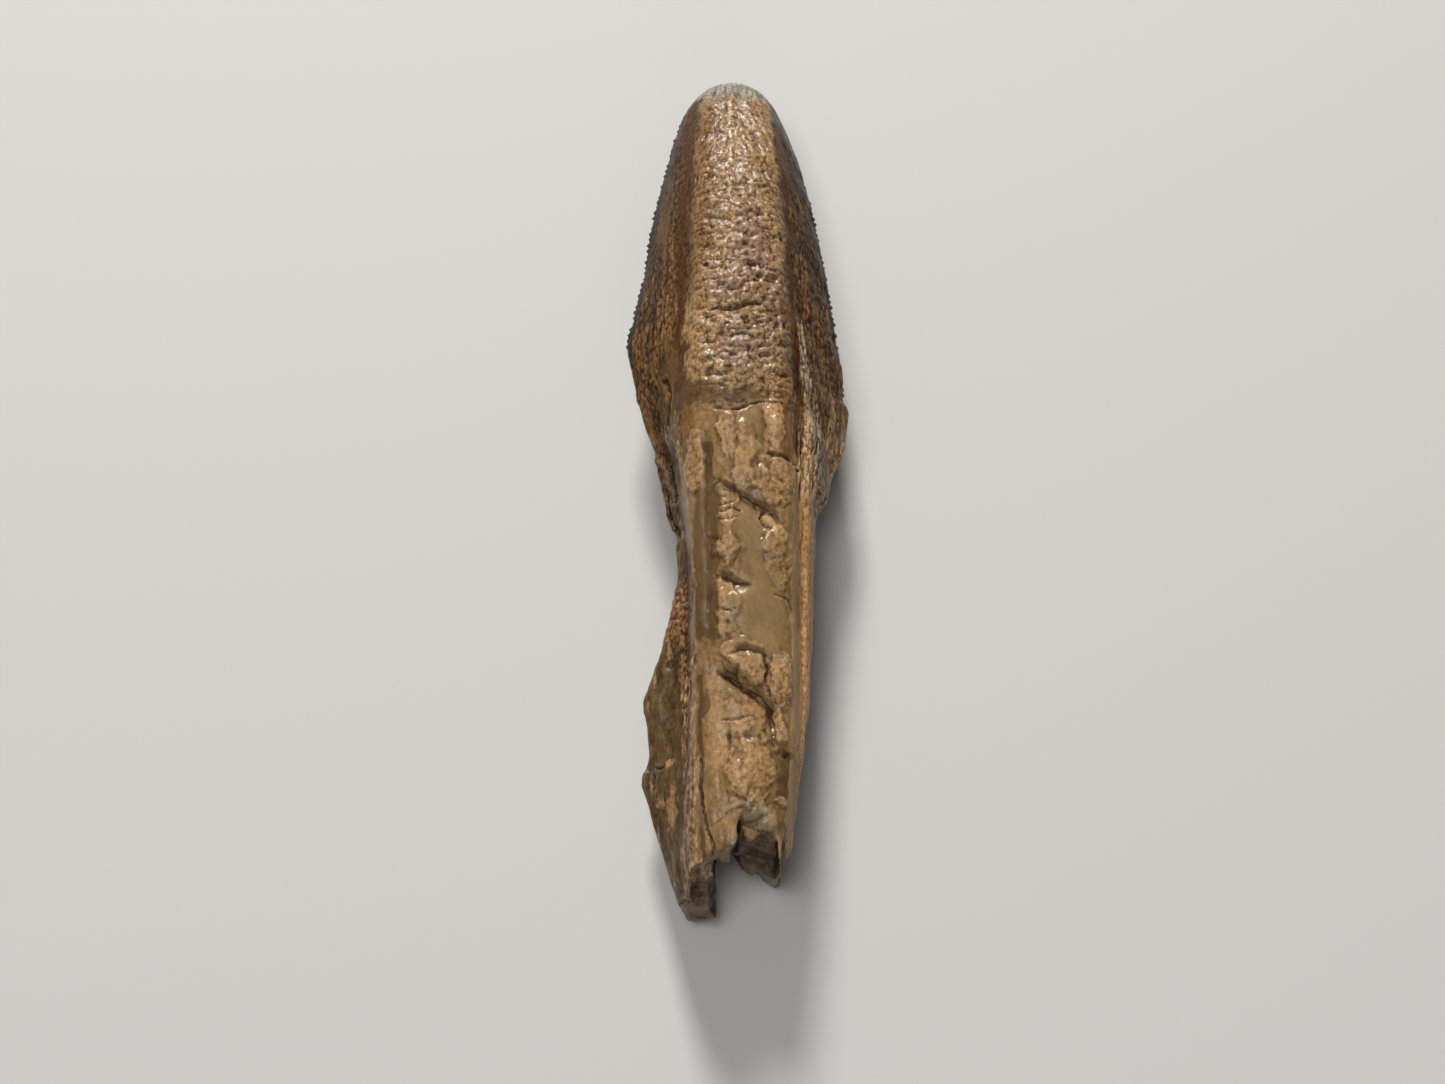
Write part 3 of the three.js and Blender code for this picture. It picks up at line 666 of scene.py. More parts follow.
class Skin:
    """The points of the skin in millimetres, the way they face and the zones they lie in."""

    def __init__(self, mesh):
        self.points = read_points(mesh)
        self.normals = read_normals(mesh)
        self.across = self.points[:, 0] - AXIS_X
        self.down = TIP_Y - self.points[:, 1]
        self.up = self.normals[:, 2]
        self.front = step(self.up, -0.3, 0.1)
        # the zones' borders wander, and the carved marks stray a little less
        wander = soft_noise(self.points, 1.7, 1) * 0.3 + soft_noise(self.points, 0.6, 2) * 0.13
        stray = soft_noise(self.points, 1.7, 3) * 0.35 + soft_noise(self.points, 0.6, 4) * 0.16
        self.ragged_across = self.across + wander
        self.ragged_down = self.down + stray
        self.mark_across = self.across + 0.6 * wander
        self.mark_down = self.down + 0.6 * stray
        self.tatter = layered_noise(self.points, 0.9, 5, 4)
        self.zones = {}
        self.map_crown()
        self.map_neck()
        self.map_root()
        self.map_break()
        self.map_tables()
        self.map_layers()

    def patches(self, table, soft, rag=1):
        """1 inside the ragged patches of a table of (across, down, half width, half length, ...)."""
        total = np.full(len(self.points), -9.0)
        for across, down, wide, long, *_ in table:
            out = ((self.ragged_across - across) / wide) ** 2 + ((self.ragged_down - down) / long) ** 2
            total = np.maximum(total, 1 - out)
        return step(total + rag * self.tatter, -soft, soft)

    def strokes(self, table, strength=0.5):
        """The strength along the routes of a table of (route, half width, ...), fading at both ends.

        At half strength the material breaks a stroke up into patches.
        """
        total = np.zeros(len(self.points))
        for route, wide, *_ in table:
            distance, _, past = beside_route(self.mark_across, self.mark_down, route)
            along = strength * (1 - step(past, 0, wide))
            total = np.maximum(total, along * (1 - step(distance, wide * 0.7, wide * 1.3)))
        return total

    def map_crown(self):
        """The ridge and its flank, the wings, the valleys, the rim, the tip and the underside."""
        across, down, front, zones = self.ragged_across, self.ragged_down, self.front, self.zones
        left, right = on_line(RIDGE_LEFT, self.down), on_line(RIDGE_RIGHT, self.down)
        crown = (1 - step(down, 36.5, 39.5)) * front
        middle = band(across, left - 0.3, right + 0.3, 0.8)
        self.crown_fibres = 1 - step(down + 3 * soft_noise(self.points, (0.6, 5, 0.6), 95), 34.5, 42)
        zones["ridge"] = crown * middle
        zones["flank"] = crown * bump(across, left - 0.2, 0.9) * step(self.down, 4, 9)
        zones["wing"] = self.crown_fibres * front * (1 - middle)
        valleys = bump(across, left - 1.3, 0.8) + bump(across, right + 0.8, 0.75)
        zones["valley"] = zones["wing"] * valleys
        gilt = layered_noise(self.points, (0.6, 3.4, 0.6), 6, 4)
        zones["gilt"] = zones["wing"] * step(gilt + 0.025 * (self.down - 25), -0.25, 0.4)
        to_left = self.across - on_line(EDGE_LEFT, self.down)
        to_right = on_line(EDGE_RIGHT, self.down) - self.across
        wide = on_line(RIM_WIDTH, self.down)
        rim = np.maximum(1 - step(to_left, 0.35, 0.9), 1 - step(to_right, wide * 0.6, wide * 1.4))
        zones["rim"] = rim * (1 - step(self.down, 27, 36)) * step(self.up, -0.6, -0.1)
        fringe = 0.5 * soft_noise(self.points, (0.3, 1.5, 0.3), 8)
        tip_end = down - 0.48 * (self.points[:, 2] - 6) + fringe
        zones["tip"] = (1 - step(tip_end, 1.9, 2.3)) * step(self.up, -0.4, 0)
        enamel_end = step(down + 0.05 * self.across**2, 33.5, 34.3)
        zones["enamel"] = (1 - front) * (1 - enamel_end)
        zones["under"] = (1 - front) * enamel_end

    def map_neck(self):
        """The fibres of the left neck, the right shoulder, its pale strands and the strip below it."""
        across, down, front, zones = self.ragged_across, self.ragged_down, self.front, self.zones
        column_right = on_line(COLUMN_RIGHT, self.down)
        height = self.points[:, 2]
        low = step(down + 0.7 * (height - 8), 44.5, 53)
        beside = step(across, column_right + 0.5, column_right + 0.9) * step(self.up, -0.5, -0.1)
        zones["strip"] = beside * low * (0.35 + 0.65 * step(height + self.tatter, 7.5, 10.5))
        outside = step(across, column_right, column_right + 0.4)
        zones["shoulder"] = (1 - self.crown_fibres) * (1 - low) * front * outside
        zones["neck_left"] = front * band(down, 38.5, 50, 1.2) * (1 - step(across, -4.6, -3.9))
        belt_left, belt_right = on_line(STRANDS_LEFT, self.down), on_line(STRANDS_RIGHT, self.down)
        spread = (self.across + 0.25 * (across - self.across) - belt_left) / (belt_right - belt_left)
        belt = band(spread, 0, 1, 0.2) * band(down, 29, 46.5, 1.5) * front
        strand = np.stack([spread, self.down, np.zeros(len(down))], axis=1)
        threads = step(soft_noise(strand, (0.17, 3.4, 1), 9), -0.35, 0.2)
        zones["strand"] = belt * (0.4 + 0.6 * threads)

    def map_root(self):
        """The column, the lip between it and the strip, and the flange."""
        across, down, front, zones = self.ragged_across, self.ragged_down, self.front, self.zones
        left, right = on_line(COLUMN_LEFT, self.down), on_line(COLUMN_RIGHT, self.down)
        zones["column"] = step(down, 36.5, 39.5) * front * band(across, left, right, 0.3)
        zones["lip"] = step(self.down, 40, 46) * front * band(across, right - 0.2, right + 0.6, 0.2)
        zones["flange"] = front * step(down, 47, 52) * (1 - step(across, -3.1, -2.7))

    def map_break(self):
        """The facets of the broken end, and those among them that face sideways, coloured dark as
        painted shade.
        """
        faces_root = step(-self.normals[:, 1], 0.3, 0.6) * step(self.down, 70.5, 72)
        inner = band(self.across, -1.6, 4.8, 0.3) * step(self.down, 73.6, 74.6)
        inner *= 1 - step(self.up, 0.55, 0.75)
        self.zones["broken"] = np.maximum(faces_root, inner)
        sideways = step(np.abs(self.normals[:, 0]), 0.55, 0.8)
        # painted shade: the sideways facets of the break are coloured nearly black
        self.zones["inside"] = self.zones["broken"] * sideways

    def map_tables(self):
        """The zones of the patches, strokes and islands, the painted shadows along the ledges, and the
        flange's streaks.
        """
        zones = self.zones
        for name, table in PATCHES.items():
            zones[name] = self.patches(table, 1) * self.front
        for name, table in STROKES.items():
            zones[name] = self.strokes(table, 1 if name in WHOLE_STROKES else 0.5) * self.front
        highest = max(island[-1] for island in ISLANDS)
        stands = [self.patches((island,), 0.35, 1.3) * island[-1] / highest for island in ISLANDS]
        zones["island"] = np.maximum.reduce(stands) * self.front
        rough = 0.75 * self.patches(ISLANDS, 0.6, 1.3) * self.front
        zones["ochre"] = np.maximum(zones["ochre"], rough)
        # painted shadows: thin dark lines along the ledges, laid into the same zone as the stains
        shadows = self.strokes([(route, 0.22) for route, *_ in LEDGES]) * self.front
        streaks = layered_noise(self.points, (0.6, 2.2, 0.6), 10, 4) * zones["flange"]
        zones["tan"] = np.maximum(zones["tan"], 0.6 * step(streaks, 0.2, 0.5))
        dark = np.maximum(shadows, 0.6 * step(-streaks, 0.2, 0.5))
        zones["stain"] = np.maximum(zones["stain"], dark)

    def map_layers(self):
        """Where the finest texture is threads, and how gritty and how polished each point is."""
        zones = self.zones
        zones["fibrous"] = np.maximum.reduce([zones[name] for name in FIBROUS])
        for layer, plain, table in (("grit", PLAIN_GRIT, GRIT), ("polish", PLAIN_POLISH, POLISH)):
            amount = np.full(len(self.points), plain)
            for name, share in table:
                amount += (share - amount) * zones[name]
            zones[layer] = amount


# ------------------------------------------------------------------ carving
# Each function gives heights along the skin's normals, as shares of a height set in the sidebar. A
# noise is given the width of its lumps in mm along x, y and z, and a seed of its own.


def carve_ridge(skin):
    """Packed grain on the crown's middle ridge: fine near the tip, coarse and wrinkled lower down.

    Near the tip, fine lines also fan out from the ridge's top towards the root, and a row of beads runs
    down the ridge's right border.
    """
    points = skin.points
    aslant = np.abs(skin.across - 0.3) - 0.4 * skin.down
    fan = soft_noise(np.stack([aslant, skin.down, points[:, 2]], axis=1), (0.28, 1.6, 3), 22)
    coarse = step(skin.down, 9, 22)
    lumps = layered_noise(points, (1.3, 0.8, 1.2), 11, 4)
    grains = grain_noise(points, (0.8, 0.62, 0.7), 12)
    fine = grain_noise(points, (0.36, 0.42, 0.36), 15)
    wrinkles = creases(soft_noise(points, (2.2, 0.6, 1.5), 18), 0.2) * coarse
    pocks = np.maximum(soft_noise(points, (0.7, 0.55, 0.7), 19) - 0.35, 0) * coarse
    height = 0.7 * fine + (0.4 + 0.8 * coarse) * grains + (0.6 + 1.3 * coarse) * lumps
    height -= 1.2 * wrinkles + 4 * pocks
    height += 0.9 * fan * band(skin.down, 4, 17, 2)
    beads = bump(skin.across, on_line(RIDGE_RIGHT, skin.down) - 0.25, 0.45)
    beads *= band(skin.down, 17, 37, 1.5)
    height += beads * 1.6 * grain_noise(points, (0.9, 0.62, 0.9), 21)
    return height * skin.zones["ridge"]


def carve_wings(skin):
    """Long fibres down both wings of the crown, broken into grains, over broad flutes."""
    points = skin.points
    flutes = soft_noise(points, (0.9, 7, 0.9), 31)
    fibres = soft_noise(points, (0.3, 2.2, 0.3), 32)
    threads = soft_noise(points, (0.2, 1, 0.2), 33)
    knots = grain_noise(points, (0.4, 0.6, 0.4), 34)
    rough = 1 - 0.6 * skin.zones["valley"]
    lumps = layered_noise(points, (0.8, 1.2, 0.8), 35)
    height = 0.4 * flutes + (0.35 * fibres + 0.4 * threads + knots + 0.5 * lumps) * rough
    return height * skin.zones["wing"]


def carve_neck(skin):
    """Fibres over the neck and the right shoulder, where the crown runs out into the root."""
    points = skin.points
    fibres = soft_noise(points, (0.3, 2.4, 0.3), 41) + 0.8 * soft_noise(points, (0.2, 1.1, 0.2), 42)
    lumps = layered_noise(points, 1.2, 43) + 0.7 * grain_noise(points, (0.4, 0.7, 0.4), 44)
    where = np.maximum(skin.zones["shoulder"], skin.zones["neck_left"])
    return (1.1 * fibres + 0.7 * lumps) * where


def carve_column(skin):
    """The smooth coat of the root, and the rough ochre that stands through it."""
    points = skin.points
    swell = layered_noise(points, (1.6, 2.4, 1.6), 51)
    rough = 0.6 * grain_noise(points, (0.32, 0.38, 0.32), 52) + 1.2 * layered_noise(points, 0.6, 55, 3)
    coat = 1 - np.maximum(skin.zones["olive"], skin.zones["groove"])
    streaks = soft_noise(points, (0.3, 1.6, 0.3), 58)
    rough = rough * (0.25 * coat + 0.8 * skin.zones["island"])
    return (0.3 * swell + 0.35 * streaks * coat + rough) * skin.zones["column"]


def carve_flange(skin):
    """Lumps, pits and crusts on the flange beside the root."""
    points = skin.points
    lumps = layered_noise(points, (1, 2.4, 1), 61, 4)
    crust = grain_noise(points, 0.45, 65) + 0.8 * layered_noise(points, 0.9, 66)
    fibres = soft_noise(points, (0.35, 2.6, 0.35), 68)
    fibres += 0.7 * layered_noise(points, (0.8, 1.3, 0.8), 69)
    height = lumps + crust * skin.zones["crust"] + fibres * skin.zones["pink"]
    return height * np.maximum(skin.zones["flange"], skin.zones["pink"])


def carve_strip(skin):
    """Fine grain over long streaks, on the strip that runs down the root's right side."""
    grains = grain_noise(skin.points, (0.3, 0.45, 0.3), 71)
    streaks = layered_noise(skin.points, (0.7, 3, 0.7), 72)
    return (grains * 0.5 + streaks) * skin.zones["strip"]


def carve_under(skin):
    """The glossy enamel face with its fine ribs, and the plainer root under the tooth."""
    points = skin.points
    ribs = soft_noise(points, (0.5, 14, 0.8), 81) * 0.5 + soft_noise(points, (0.9, 5, 0.9), 82) * 0.5
    root = layered_noise(points, (1.4, 2.6, 1.4), 83) + 0.4 * soft_noise(points, (0.4, 3, 0.4), 84)
    return ribs * skin.zones["enamel"] + root * skin.zones["under"]


def carve_break(skin):
    """Small flat steps on the broken end, as brittle mineral breaks."""
    points = skin.points
    plates = soft_noise(points, (1.1, 0.9, 1.1), 91) * 3
    stepped = np.floor(plates) + step(plates - np.floor(plates), 0.7, 1)
    return (0.6 * stepped + 0.3 * layered_noise(points, 0.6, 92)) * skin.zones["broken"]


def carve_marks(skin):
    """Cracks, ledges, pits, ribs, standing islands and strands at their places, as heights in mm."""
    across, down = skin.mark_across, skin.mark_down
    height = np.zeros(len(across))
    for route, wide, deep in CRACKS:
        distance, _, past = beside_route(across, down, route)
        height -= deep * (1 - step(distance, wide * 0.2, wide * 1.2)) * (1 - step(past, 0, 0.3))
    for route, deep, run in LEDGES:
        distance, side, past = beside_route(across, down, route)
        slope = (1 - distance / run).clip(0) ** 1.3 * step(side * distance, 0, 0.18)
        height -= deep * (slope * (1 - step(past, -0.1, 0.3)))
    for centre, place, wide, long, deep in PITS:
        out = ((across - centre) / wide) ** 2 + ((down - place) / long) ** 2 + 1.2 * skin.tatter
        height -= deep * (1 - step(out, 0.1, 1.7))
    height += ISLAND_HEIGHT * skin.zones["island"] + STRAND_HEIGHT * skin.zones["strand"]
    for route, wide, high in RIBS:
        distance, _, past = beside_route(skin.across, skin.down, route)
        height += high * (1 - step(distance, wide * 0.3, wide * 1.2)) * (1 - step(past, 0, 0.5))
    return height * skin.front


def carve(skin, sizes):
    """Moves the skin's points by all the carving, and keeps it inside the CAD solid's box."""
    height = carve_ridge(skin) * sizes.grain / MM
    height += (carve_wings(skin) + carve_neck(skin)) * sizes.fibre / MM
    height += (carve_column(skin) + carve_strip(skin)) * sizes.coat / MM
    height += carve_flange(skin) * sizes.flange / MM
    height += carve_under(skin) * sizes.enamel / MM
    height += carve_break(skin) * sizes.breakage / MM
    lost = 0.6  # share of the carving that the smooth zones lose
    for smooth_zones in (("rim", "tip"), ("olive", "groove", "brown")):
        height *= 1 - lost * np.maximum.reduce([skin.zones[name] for name in smooth_zones])
    height += carve_marks(skin)
    low, high = np.array(cad_low) / MM, np.array(cad_high) / MM
    return np.clip(skin.points + skin.normals * height[:, None], low, high)


RELAXING = 0.7  # how far a round of relaxing pulls each point towards its neighbours
WEAR_ROUNDS = 50
LOWER_ROOT = 50  # distance down from the tip where the lower root begins, mm

# forms that the material paints shade into (crevices, hollows) or a highlight onto (crests): rounds of
# relaxing that find them, and the height at which they show in full, mm
FORMS_WITH_PAINTED_LIGHT = {"crevice": (6, -0.045), "hollow": (60, -0.35), "crest": (6, 0.03)}


def shelter(mesh, net, rounds):
    """How far each point lies under (below 0) or over its surroundings, mm. More rounds look wider."""
    points = read_points(mesh)
    return ((points - net.relaxed(points, (RELAXING,) * rounds)) * read_normals(mesh)).sum(axis=1)


def wear_edges(skin, net):
    """Wears the CAD solid's sharp cuts before the carving.

    They are along the ledges, the cracks, the pits of the lower root, the borders of the ridge and the
    strip's lip. The olive coat is worn all over.
    """
    across, down = skin.across, skin.down
    near = skin.zones["olive"]
    for routes, share in ((LEDGES, 1.3), (CRACKS, 1.6)):
        for route, *_ in routes:
            distance, _, past = beside_route(across, down, route)
            near = np.maximum(near, share * (1 - step(np.hypot(distance, past), 0.7, 2)))
    for centre, place, wide, long, _ in PITS:
        if place > LOWER_ROOT:
            out = np.hypot((across - centre) / (wide + 0.5), (down - place) / (long + 0.5))
            near = np.maximum(near, 1.9 * (1 - step(out, 0.8, 1.6)))
    crown = 1 - step(down, 38, 44)
    near = np.maximum(near, 1.6 * crown * bump(across, on_line(RIDGE_LEFT, down) - 0.3, 1.3))
    near = np.maximum(near, crown * bump(across, on_line(RIDGE_RIGHT, down) + 0.4, 1))
    lip = on_line(COLUMN_RIGHT, down) + 0.8
    near = np.maximum(near, 2 * bump(across, lip, 1.3) * step(down, 42, 48))
    worn = net.relaxed(skin.points, (RELAXING,) * WEAR_ROUNDS)
    share = np.clip(0.5 * near, 0, 1) * skin.front
    skin.points += (worn - skin.points) * share[:, None]


def keep_number(mesh, name, values):
    """Stores one number for each point of the mesh, for the material to read."""
    kept = mesh.attributes.new(name, "FLOAT", "POINT")
    kept.data.foreach_set("value", values.astype(np.float32))


ROUGH_STEP = 1.3  # squares of the first remesh, in skin steps
FACET_ROUNDS = 10  # smoothing that takes out the CAD's facets
SQUARE_ROUNDS = 2  # smoothing that takes out the squares


def build_skin(sizes):
    """The CAD solid and its denticles as one fine closed skin, not yet carved."""
    if DENTICLES not in bpy.data.objects:
        raise RuntimeError("the denticles are made before the skin")
    skin = merged_copy(NODE, SKIN)
    remesh(skin, sizes.skin_step * ROUGH_STEP)
    smooth(skin.data, FACET_ROUNDS)
    join(skin, bpy.data.objects[DENTICLES])
    remesh(skin, sizes.skin_step)
    smooth(skin.data, SQUARE_ROUNDS)
    thin_underside(skin, sizes.most_triangles)
    return skin


def carve_skin(mesh, sizes):
    """Carves the skin, and keeps on it the numbers that its material reads."""
    skin = Skin(mesh)
    net = Net(mesh)
    wear_edges(skin, net)
    write_points(mesh, carve(skin, sizes))
    # masks for the painted shade and painted highlight that the material reads
    for name, (rounds, full) in FORMS_WITH_PAINTED_LIGHT.items():
        keep_number(mesh, name, np.clip(shelter(mesh, net, rounds) / full, 0, 1))
    for name in sorted({"grit", "fibrous", "polish", *(finish[0] for finish in FINISHES)}):
        keep_number(mesh, name, skin.zones[name])


# ------------------------------------------------------------------ material

# finishes from the bottom one up: zone, colour, share of the colour that the dark parts keep, pattern,
# roughness, strength
FINISHES = (
    ("column", "column", 0.6, "mottle", 0.5, 1),
    ("under", "column", 0.5, "mottle", 0.5, 1),
    ("wing", "wing", 0.5, "fleck", 0.55, 1),
    ("shoulder", "shoulder", 0.5, "fibre", 0.5, 1),
    ("neck_left", "flange", 0.5, "fibre", 0.5, 1),
    ("gilt", "gilt", 0.6, "fleck", 0.55, 0.8),
    ("valley", "valley", 0.5, "fibre", 0.5, 0.9),
    ("ridge", "ridge", 0.5, "grain", 0.42, 1),
    ("flank", "gold", 0.5, "fibre", 0.45, 0.7),
    ("mauve", "mauve", 0.6, "grain", 0.42, 0.7),
    ("amber", "amber", 0.6, "fibre", 0.5, 0.75),
    ("flange", "flange", 0.5, "mottle", 0.5, 1),
    ("crust", "crust", 0.5, "grain", 0.6, 0.9),
    ("strip", "strip", 0.6, "grain", 0.55, 1),
    ("ochre", "ochre", 0.6, "grain", 0.48, 0.85),
    ("olive", "olive", 0.8, "mottle", 0.52, 0.9),
    ("brown", "brown", 0.6, "mottle", 0.5, 0.8),
    ("groove", "groove", 0.8, "mottle", 0.5, 0.95),
    ("lip", "ochre", 0.85, "fibre", 0.5, 0.95),
    ("pink", "pink", 0.6, "fibre", 0.5, 0.9),
    ("rim", "rim", 0.4, "grain", 0.35, 0.9),
    ("tip", "tip", 0.14, "thread", 0.35, 1),
    ("steel", "steel", 0.3, "thread", 0.35, 0.85),
    ("enamel", "enamel", 0.5, "fibre", 0.25, 1),
    ("broken", "broken", 0.5, "grain", 0.45, 1),
    # painted shade on the sideways walls of the broken end
    ("inside", "inside", 0.5, "grain", 0.5, 0.9),
    # painted shade on the low, recessed facets of the broken end
    ("dusk", "dusk", 0.45, "mottle", 0.45, 0.95),
    ("grey", "grey", 0.7, "mottle", 0.35, 0.75),
    ("tan", "tan", 0.6, "grain", 0.5, 0.85),
    ("edge", "tan", 0.7, "fibre", 0.5, 0.7),
    ("pale", "pale", 0.6, "fibre", 0.5, 0.85),
    ("strand", "strand", 0.5, "fibre", 0.5, 0.95),
    # painted highlight along the ridge's top near the tip
    ("glint", "crest", 0.4, "grain", 0.25, 0.9),
    # stains, with painted shadows along the ledges
    ("stain", "brown", 0.5, "mottle", 0.5, 0.6),
)

# patterns of light and dark in a finish: widths in mm along x, y and z, detail, roughness
PATTERNS = {
    "grain": ((0.6, 0.5, 0.6), 5, 0.75),
    "fibre": ((0.24, 1.6, 0.24), 4, 0.65),
    "fleck": ((0.34, 0.9, 0.34), 5, 0.75),
    "thread": ((0.3, 1.8, 1.8), 3, 0.6),
    "mottle": ((1.4, 2, 1.4), 6, 0.65),
}

# shades laid over all the finishes: painted shade in seams, crevices and hollows, a painted highlight
# on crests, and an even tint over everything
PAINTED_SEAM_TINT = (0.36, 0.27, 0.18, 1)
PAINTED_CREVICE_TINT = (0.4, 0.31, 0.22, 1)
PAINTED_HOLLOW_TINT = (0.58, 0.47, 0.36, 1)
PAINTED_CREST_TINT = (0.05, 0.04, 0.028, 1)
WHOLE_SHADE = (0.92, 0.88, 0.8, 1)


class Mixer:
    """Adds shader nodes to one material and links them."""

    def __init__(self, tree):
        self.tree = tree
        self.place = self.node("ShaderNodeTexCoord").outputs["Object"]

    def node(self, kind, **settings):
        """A new node of one kind."""
        made = self.tree.nodes.new(kind)
        for name, value in settings.items():
            setattr(made, name, value)
        return made

    def feed(self, socket, value):
        """Links a socket to another one, or sets it to a plain value."""
        if isinstance(value, bpy.types.NodeSocket):
            self.tree.links.new(value, socket)
        else:
            socket.default_value = value

    def number(self, operation, first, second):
        """The result of a sum on two numbers."""
        made = self.node("ShaderNodeMath", operation=operation)
        self.feed(made.inputs[0], first)
        self.feed(made.inputs[1], second)
        return made.outputs[0]

    def ramp(self, value, low, high, to_low=0.0, to_high=1.0):
        """The value carried smoothly from one range to another."""
        made = self.node("ShaderNodeMapRange", interpolation_type="SMOOTHSTEP")
        self.feed(made.inputs["Value"], value)
        limits = {"From Min": low, "From Max": high, "To Min": to_low, "To Max": to_high}
        for name, limit in limits.items():
            made.inputs[name].default_value = limit
        return made.outputs["Result"]

    def texture(self, kind, size):
        """A texture node with lumps of the given sizes in millimetres along x, y and z."""
        stretch = self.node("ShaderNodeMapping")
        stretch.inputs["Scale"].default_value = [1 / (wide * MM) for wide in size]
        self.feed(stretch.inputs["Vector"], self.place)
        made = self.node(kind)
        self.feed(made.inputs["Vector"], stretch.outputs["Vector"])
        made.inputs["Scale"].default_value = 1.0
        return made

    def noise(self, size, detail=4.0, roughness=0.6):
        """Noise from 0 to 1."""
        made = self.texture("ShaderNodeTexNoise", size)
        made.inputs["Detail"].default_value = detail
        made.inputs["Roughness"].default_value = roughness
        return made.outputs["Fac"]

    def pebbles(self, size):
        """Packed round grains, from 0 in their seams to 1 on top."""
        cells = self.texture("ShaderNodeTexVoronoi", size)
        return self.number("SUBTRACT", 1.0, cells.outputs["Distance"])

    def kept(self, name):
        """A number that the mesh keeps for each of its points."""
        return self.node("ShaderNodeAttribute", attribute_name=name).outputs["Fac"]

    def blend(self, first, second, factor, how="MIX"):
        """Two colours mixed by a factor."""
        made = self.node("ShaderNodeMix", data_type="RGBA", blend_type=how)
        self.feed(made.inputs["Factor"], factor)
        self.feed(made.inputs[6], first)
        self.feed(made.inputs[7], second)
        return made.outputs[2]

    def blend_number(self, first, second, factor):
        """Two numbers mixed by a factor."""
        made = self.node("ShaderNodeMix", data_type="FLOAT")
        self.feed(made.inputs["Factor"], factor)
        self.feed(made.inputs[2], first)
        self.feed(made.inputs[3], second)
        return made.outputs[0]


def opaque(colour, share=1.0):
    """A colour with its alpha, made darker by a share."""
    return (*(channel * share for channel in colour), 1.0)


def zone_finishes(mix, colours):
    """Colour and roughness of the whole tooth, each finish laid over the last where its zone is."""
    contrast = {name: mix.ramp(mix.noise(*pattern), 0.3, 0.68) for name, pattern in PATTERNS.items()}
    ragged = mix.number("SUBTRACT", mix.noise((0.5, 0.6, 0.5), 4), 0.5)
    ragged = mix.number("MULTIPLY", ragged, 1.6)
    tint = opaque(colours.column, 0.8)
    roughness = 0.4
    for zone, name, dark, pattern, rough, strength in FINISHES:
        colour = getattr(colours, name)
        finish = mix.blend(opaque(colour, dark), opaque(colour), contrast[pattern])
        where = mix.ramp(mix.number("ADD", mix.kept(zone), ragged), 0.25, 0.75, 0.0, strength)
        where = mix.number("MULTIPLY", where, mix.ramp(mix.kept(zone), 0.02, 0.12))
        tint = mix.blend(tint, finish, where)
        roughness = mix.blend_number(roughness, rough, where)
    return tint, roughness


def finest_texture(mix):
    """Fine grit, and fine threads where the tooth is fibrous, from 0 in the seams to 1 on top."""
    grit = mix.blend_number(mix.pebbles((0.33, 0.37, 0.33)), mix.noise((0.17, 0.2, 0.17), 3), 0.5)
    threads = mix.ramp(mix.noise((0.17, 0.9, 0.17), 3), 0.32, 0.68)
    threads = mix.blend_number(threads, mix.pebbles((0.3, 0.42, 0.3)), 0.55)
    return mix.blend_number(grit, threads, mix.kept("fibrous"))


def toned_with_painted_light(mix, tint, texture):
    """The colour in broad tones, with painted shade in seams, crevices and hollows and painted
    highlights on crests.
    """
    broad = mix.ramp(mix.noise((6, 9, 6), 3), 0.35, 0.65, 0.86, 1.08)
    shade = mix.node("ShaderNodeCombineColor")
    for channel in ("Red", "Green", "Blue"):
        mix.feed(shade.inputs[channel], broad)
    # painted shade: darker in the seams of the fine grit that the bump raises
    seam_painted_shade = mix.number("MULTIPLY", mix.ramp(texture, 0.52, 0.34), mix.kept("grit"))
    # painted shade: darker where the skin lies in small crevices
    crevice_painted_shade = mix.ramp(mix.kept("crevice"), 0.0, 1.0, 0.0, 0.8)
    # painted shade: darker where the skin lies in broad hollows
    hollow_painted_shade = mix.ramp(mix.kept("hollow"), 0.1, 1.0)
    # painted highlight: lighter on convex crests of the skin
    convex_painted_highlight = mix.ramp(mix.kept("crest"), 0.2, 1.0)
    tint = mix.blend(tint, shade.outputs["Color"], 1.0, "MULTIPLY")
    tint = mix.blend(tint, PAINTED_SEAM_TINT, seam_painted_shade, "MULTIPLY")
    tint = mix.blend(tint, PAINTED_CREVICE_TINT, crevice_painted_shade, "MULTIPLY")
    tint = mix.blend(tint, PAINTED_HOLLOW_TINT, hollow_painted_shade, "MULTIPLY")
    tint = mix.blend(tint, PAINTED_CREST_TINT, convex_painted_highlight, "SCREEN")
    return mix.blend(tint, WHOLE_SHADE, 1.0, "MULTIPLY")


def mineral(colours):
    """The tooth's material: one finish for each zone, with painted shade in its crevices, under a
    glossy coat.
    """
    material = bpy.data.materials.new("fossil_mineral")
    material.use_nodes = True
    material.node_tree.nodes.clear()
    mix = Mixer(material.node_tree)
    tint, roughness = zone_finishes(mix, colours)
    texture = finest_texture(mix)
    fine = mix.node("ShaderNodeBump")
    fine.inputs["Distance"].default_value = 0.08 * MM
    fine.inputs["Strength"].default_value = 1.0
    mix.feed(fine.inputs["Height"], mix.number("MULTIPLY", texture, mix.kept("grit")))
    shader = mix.node("ShaderNodeBsdfPrincipled")
    mix.feed(shader.inputs["Base Color"], toned_with_painted_light(mix, tint, texture))
    mix.feed(shader.inputs["Roughness"], roughness)
    shader.inputs["Specular IOR Level"].default_value = 0.12
    mix.feed(shader.inputs["Coat Weight"], mix.kept("polish"))
    shader.inputs["Coat Roughness"].default_value = 0.07
    shader.inputs["Coat IOR"].default_value = 1.35
    mix.feed(shader.inputs["Normal"], fine.outputs["Normal"])
    mix.feed(shader.inputs["Coat Normal"], fine.outputs["Normal"])
    out = mix.node("ShaderNodeOutputMaterial")
    mix.feed(out.inputs["Surface"], shader.outputs["BSDF"])
    return material


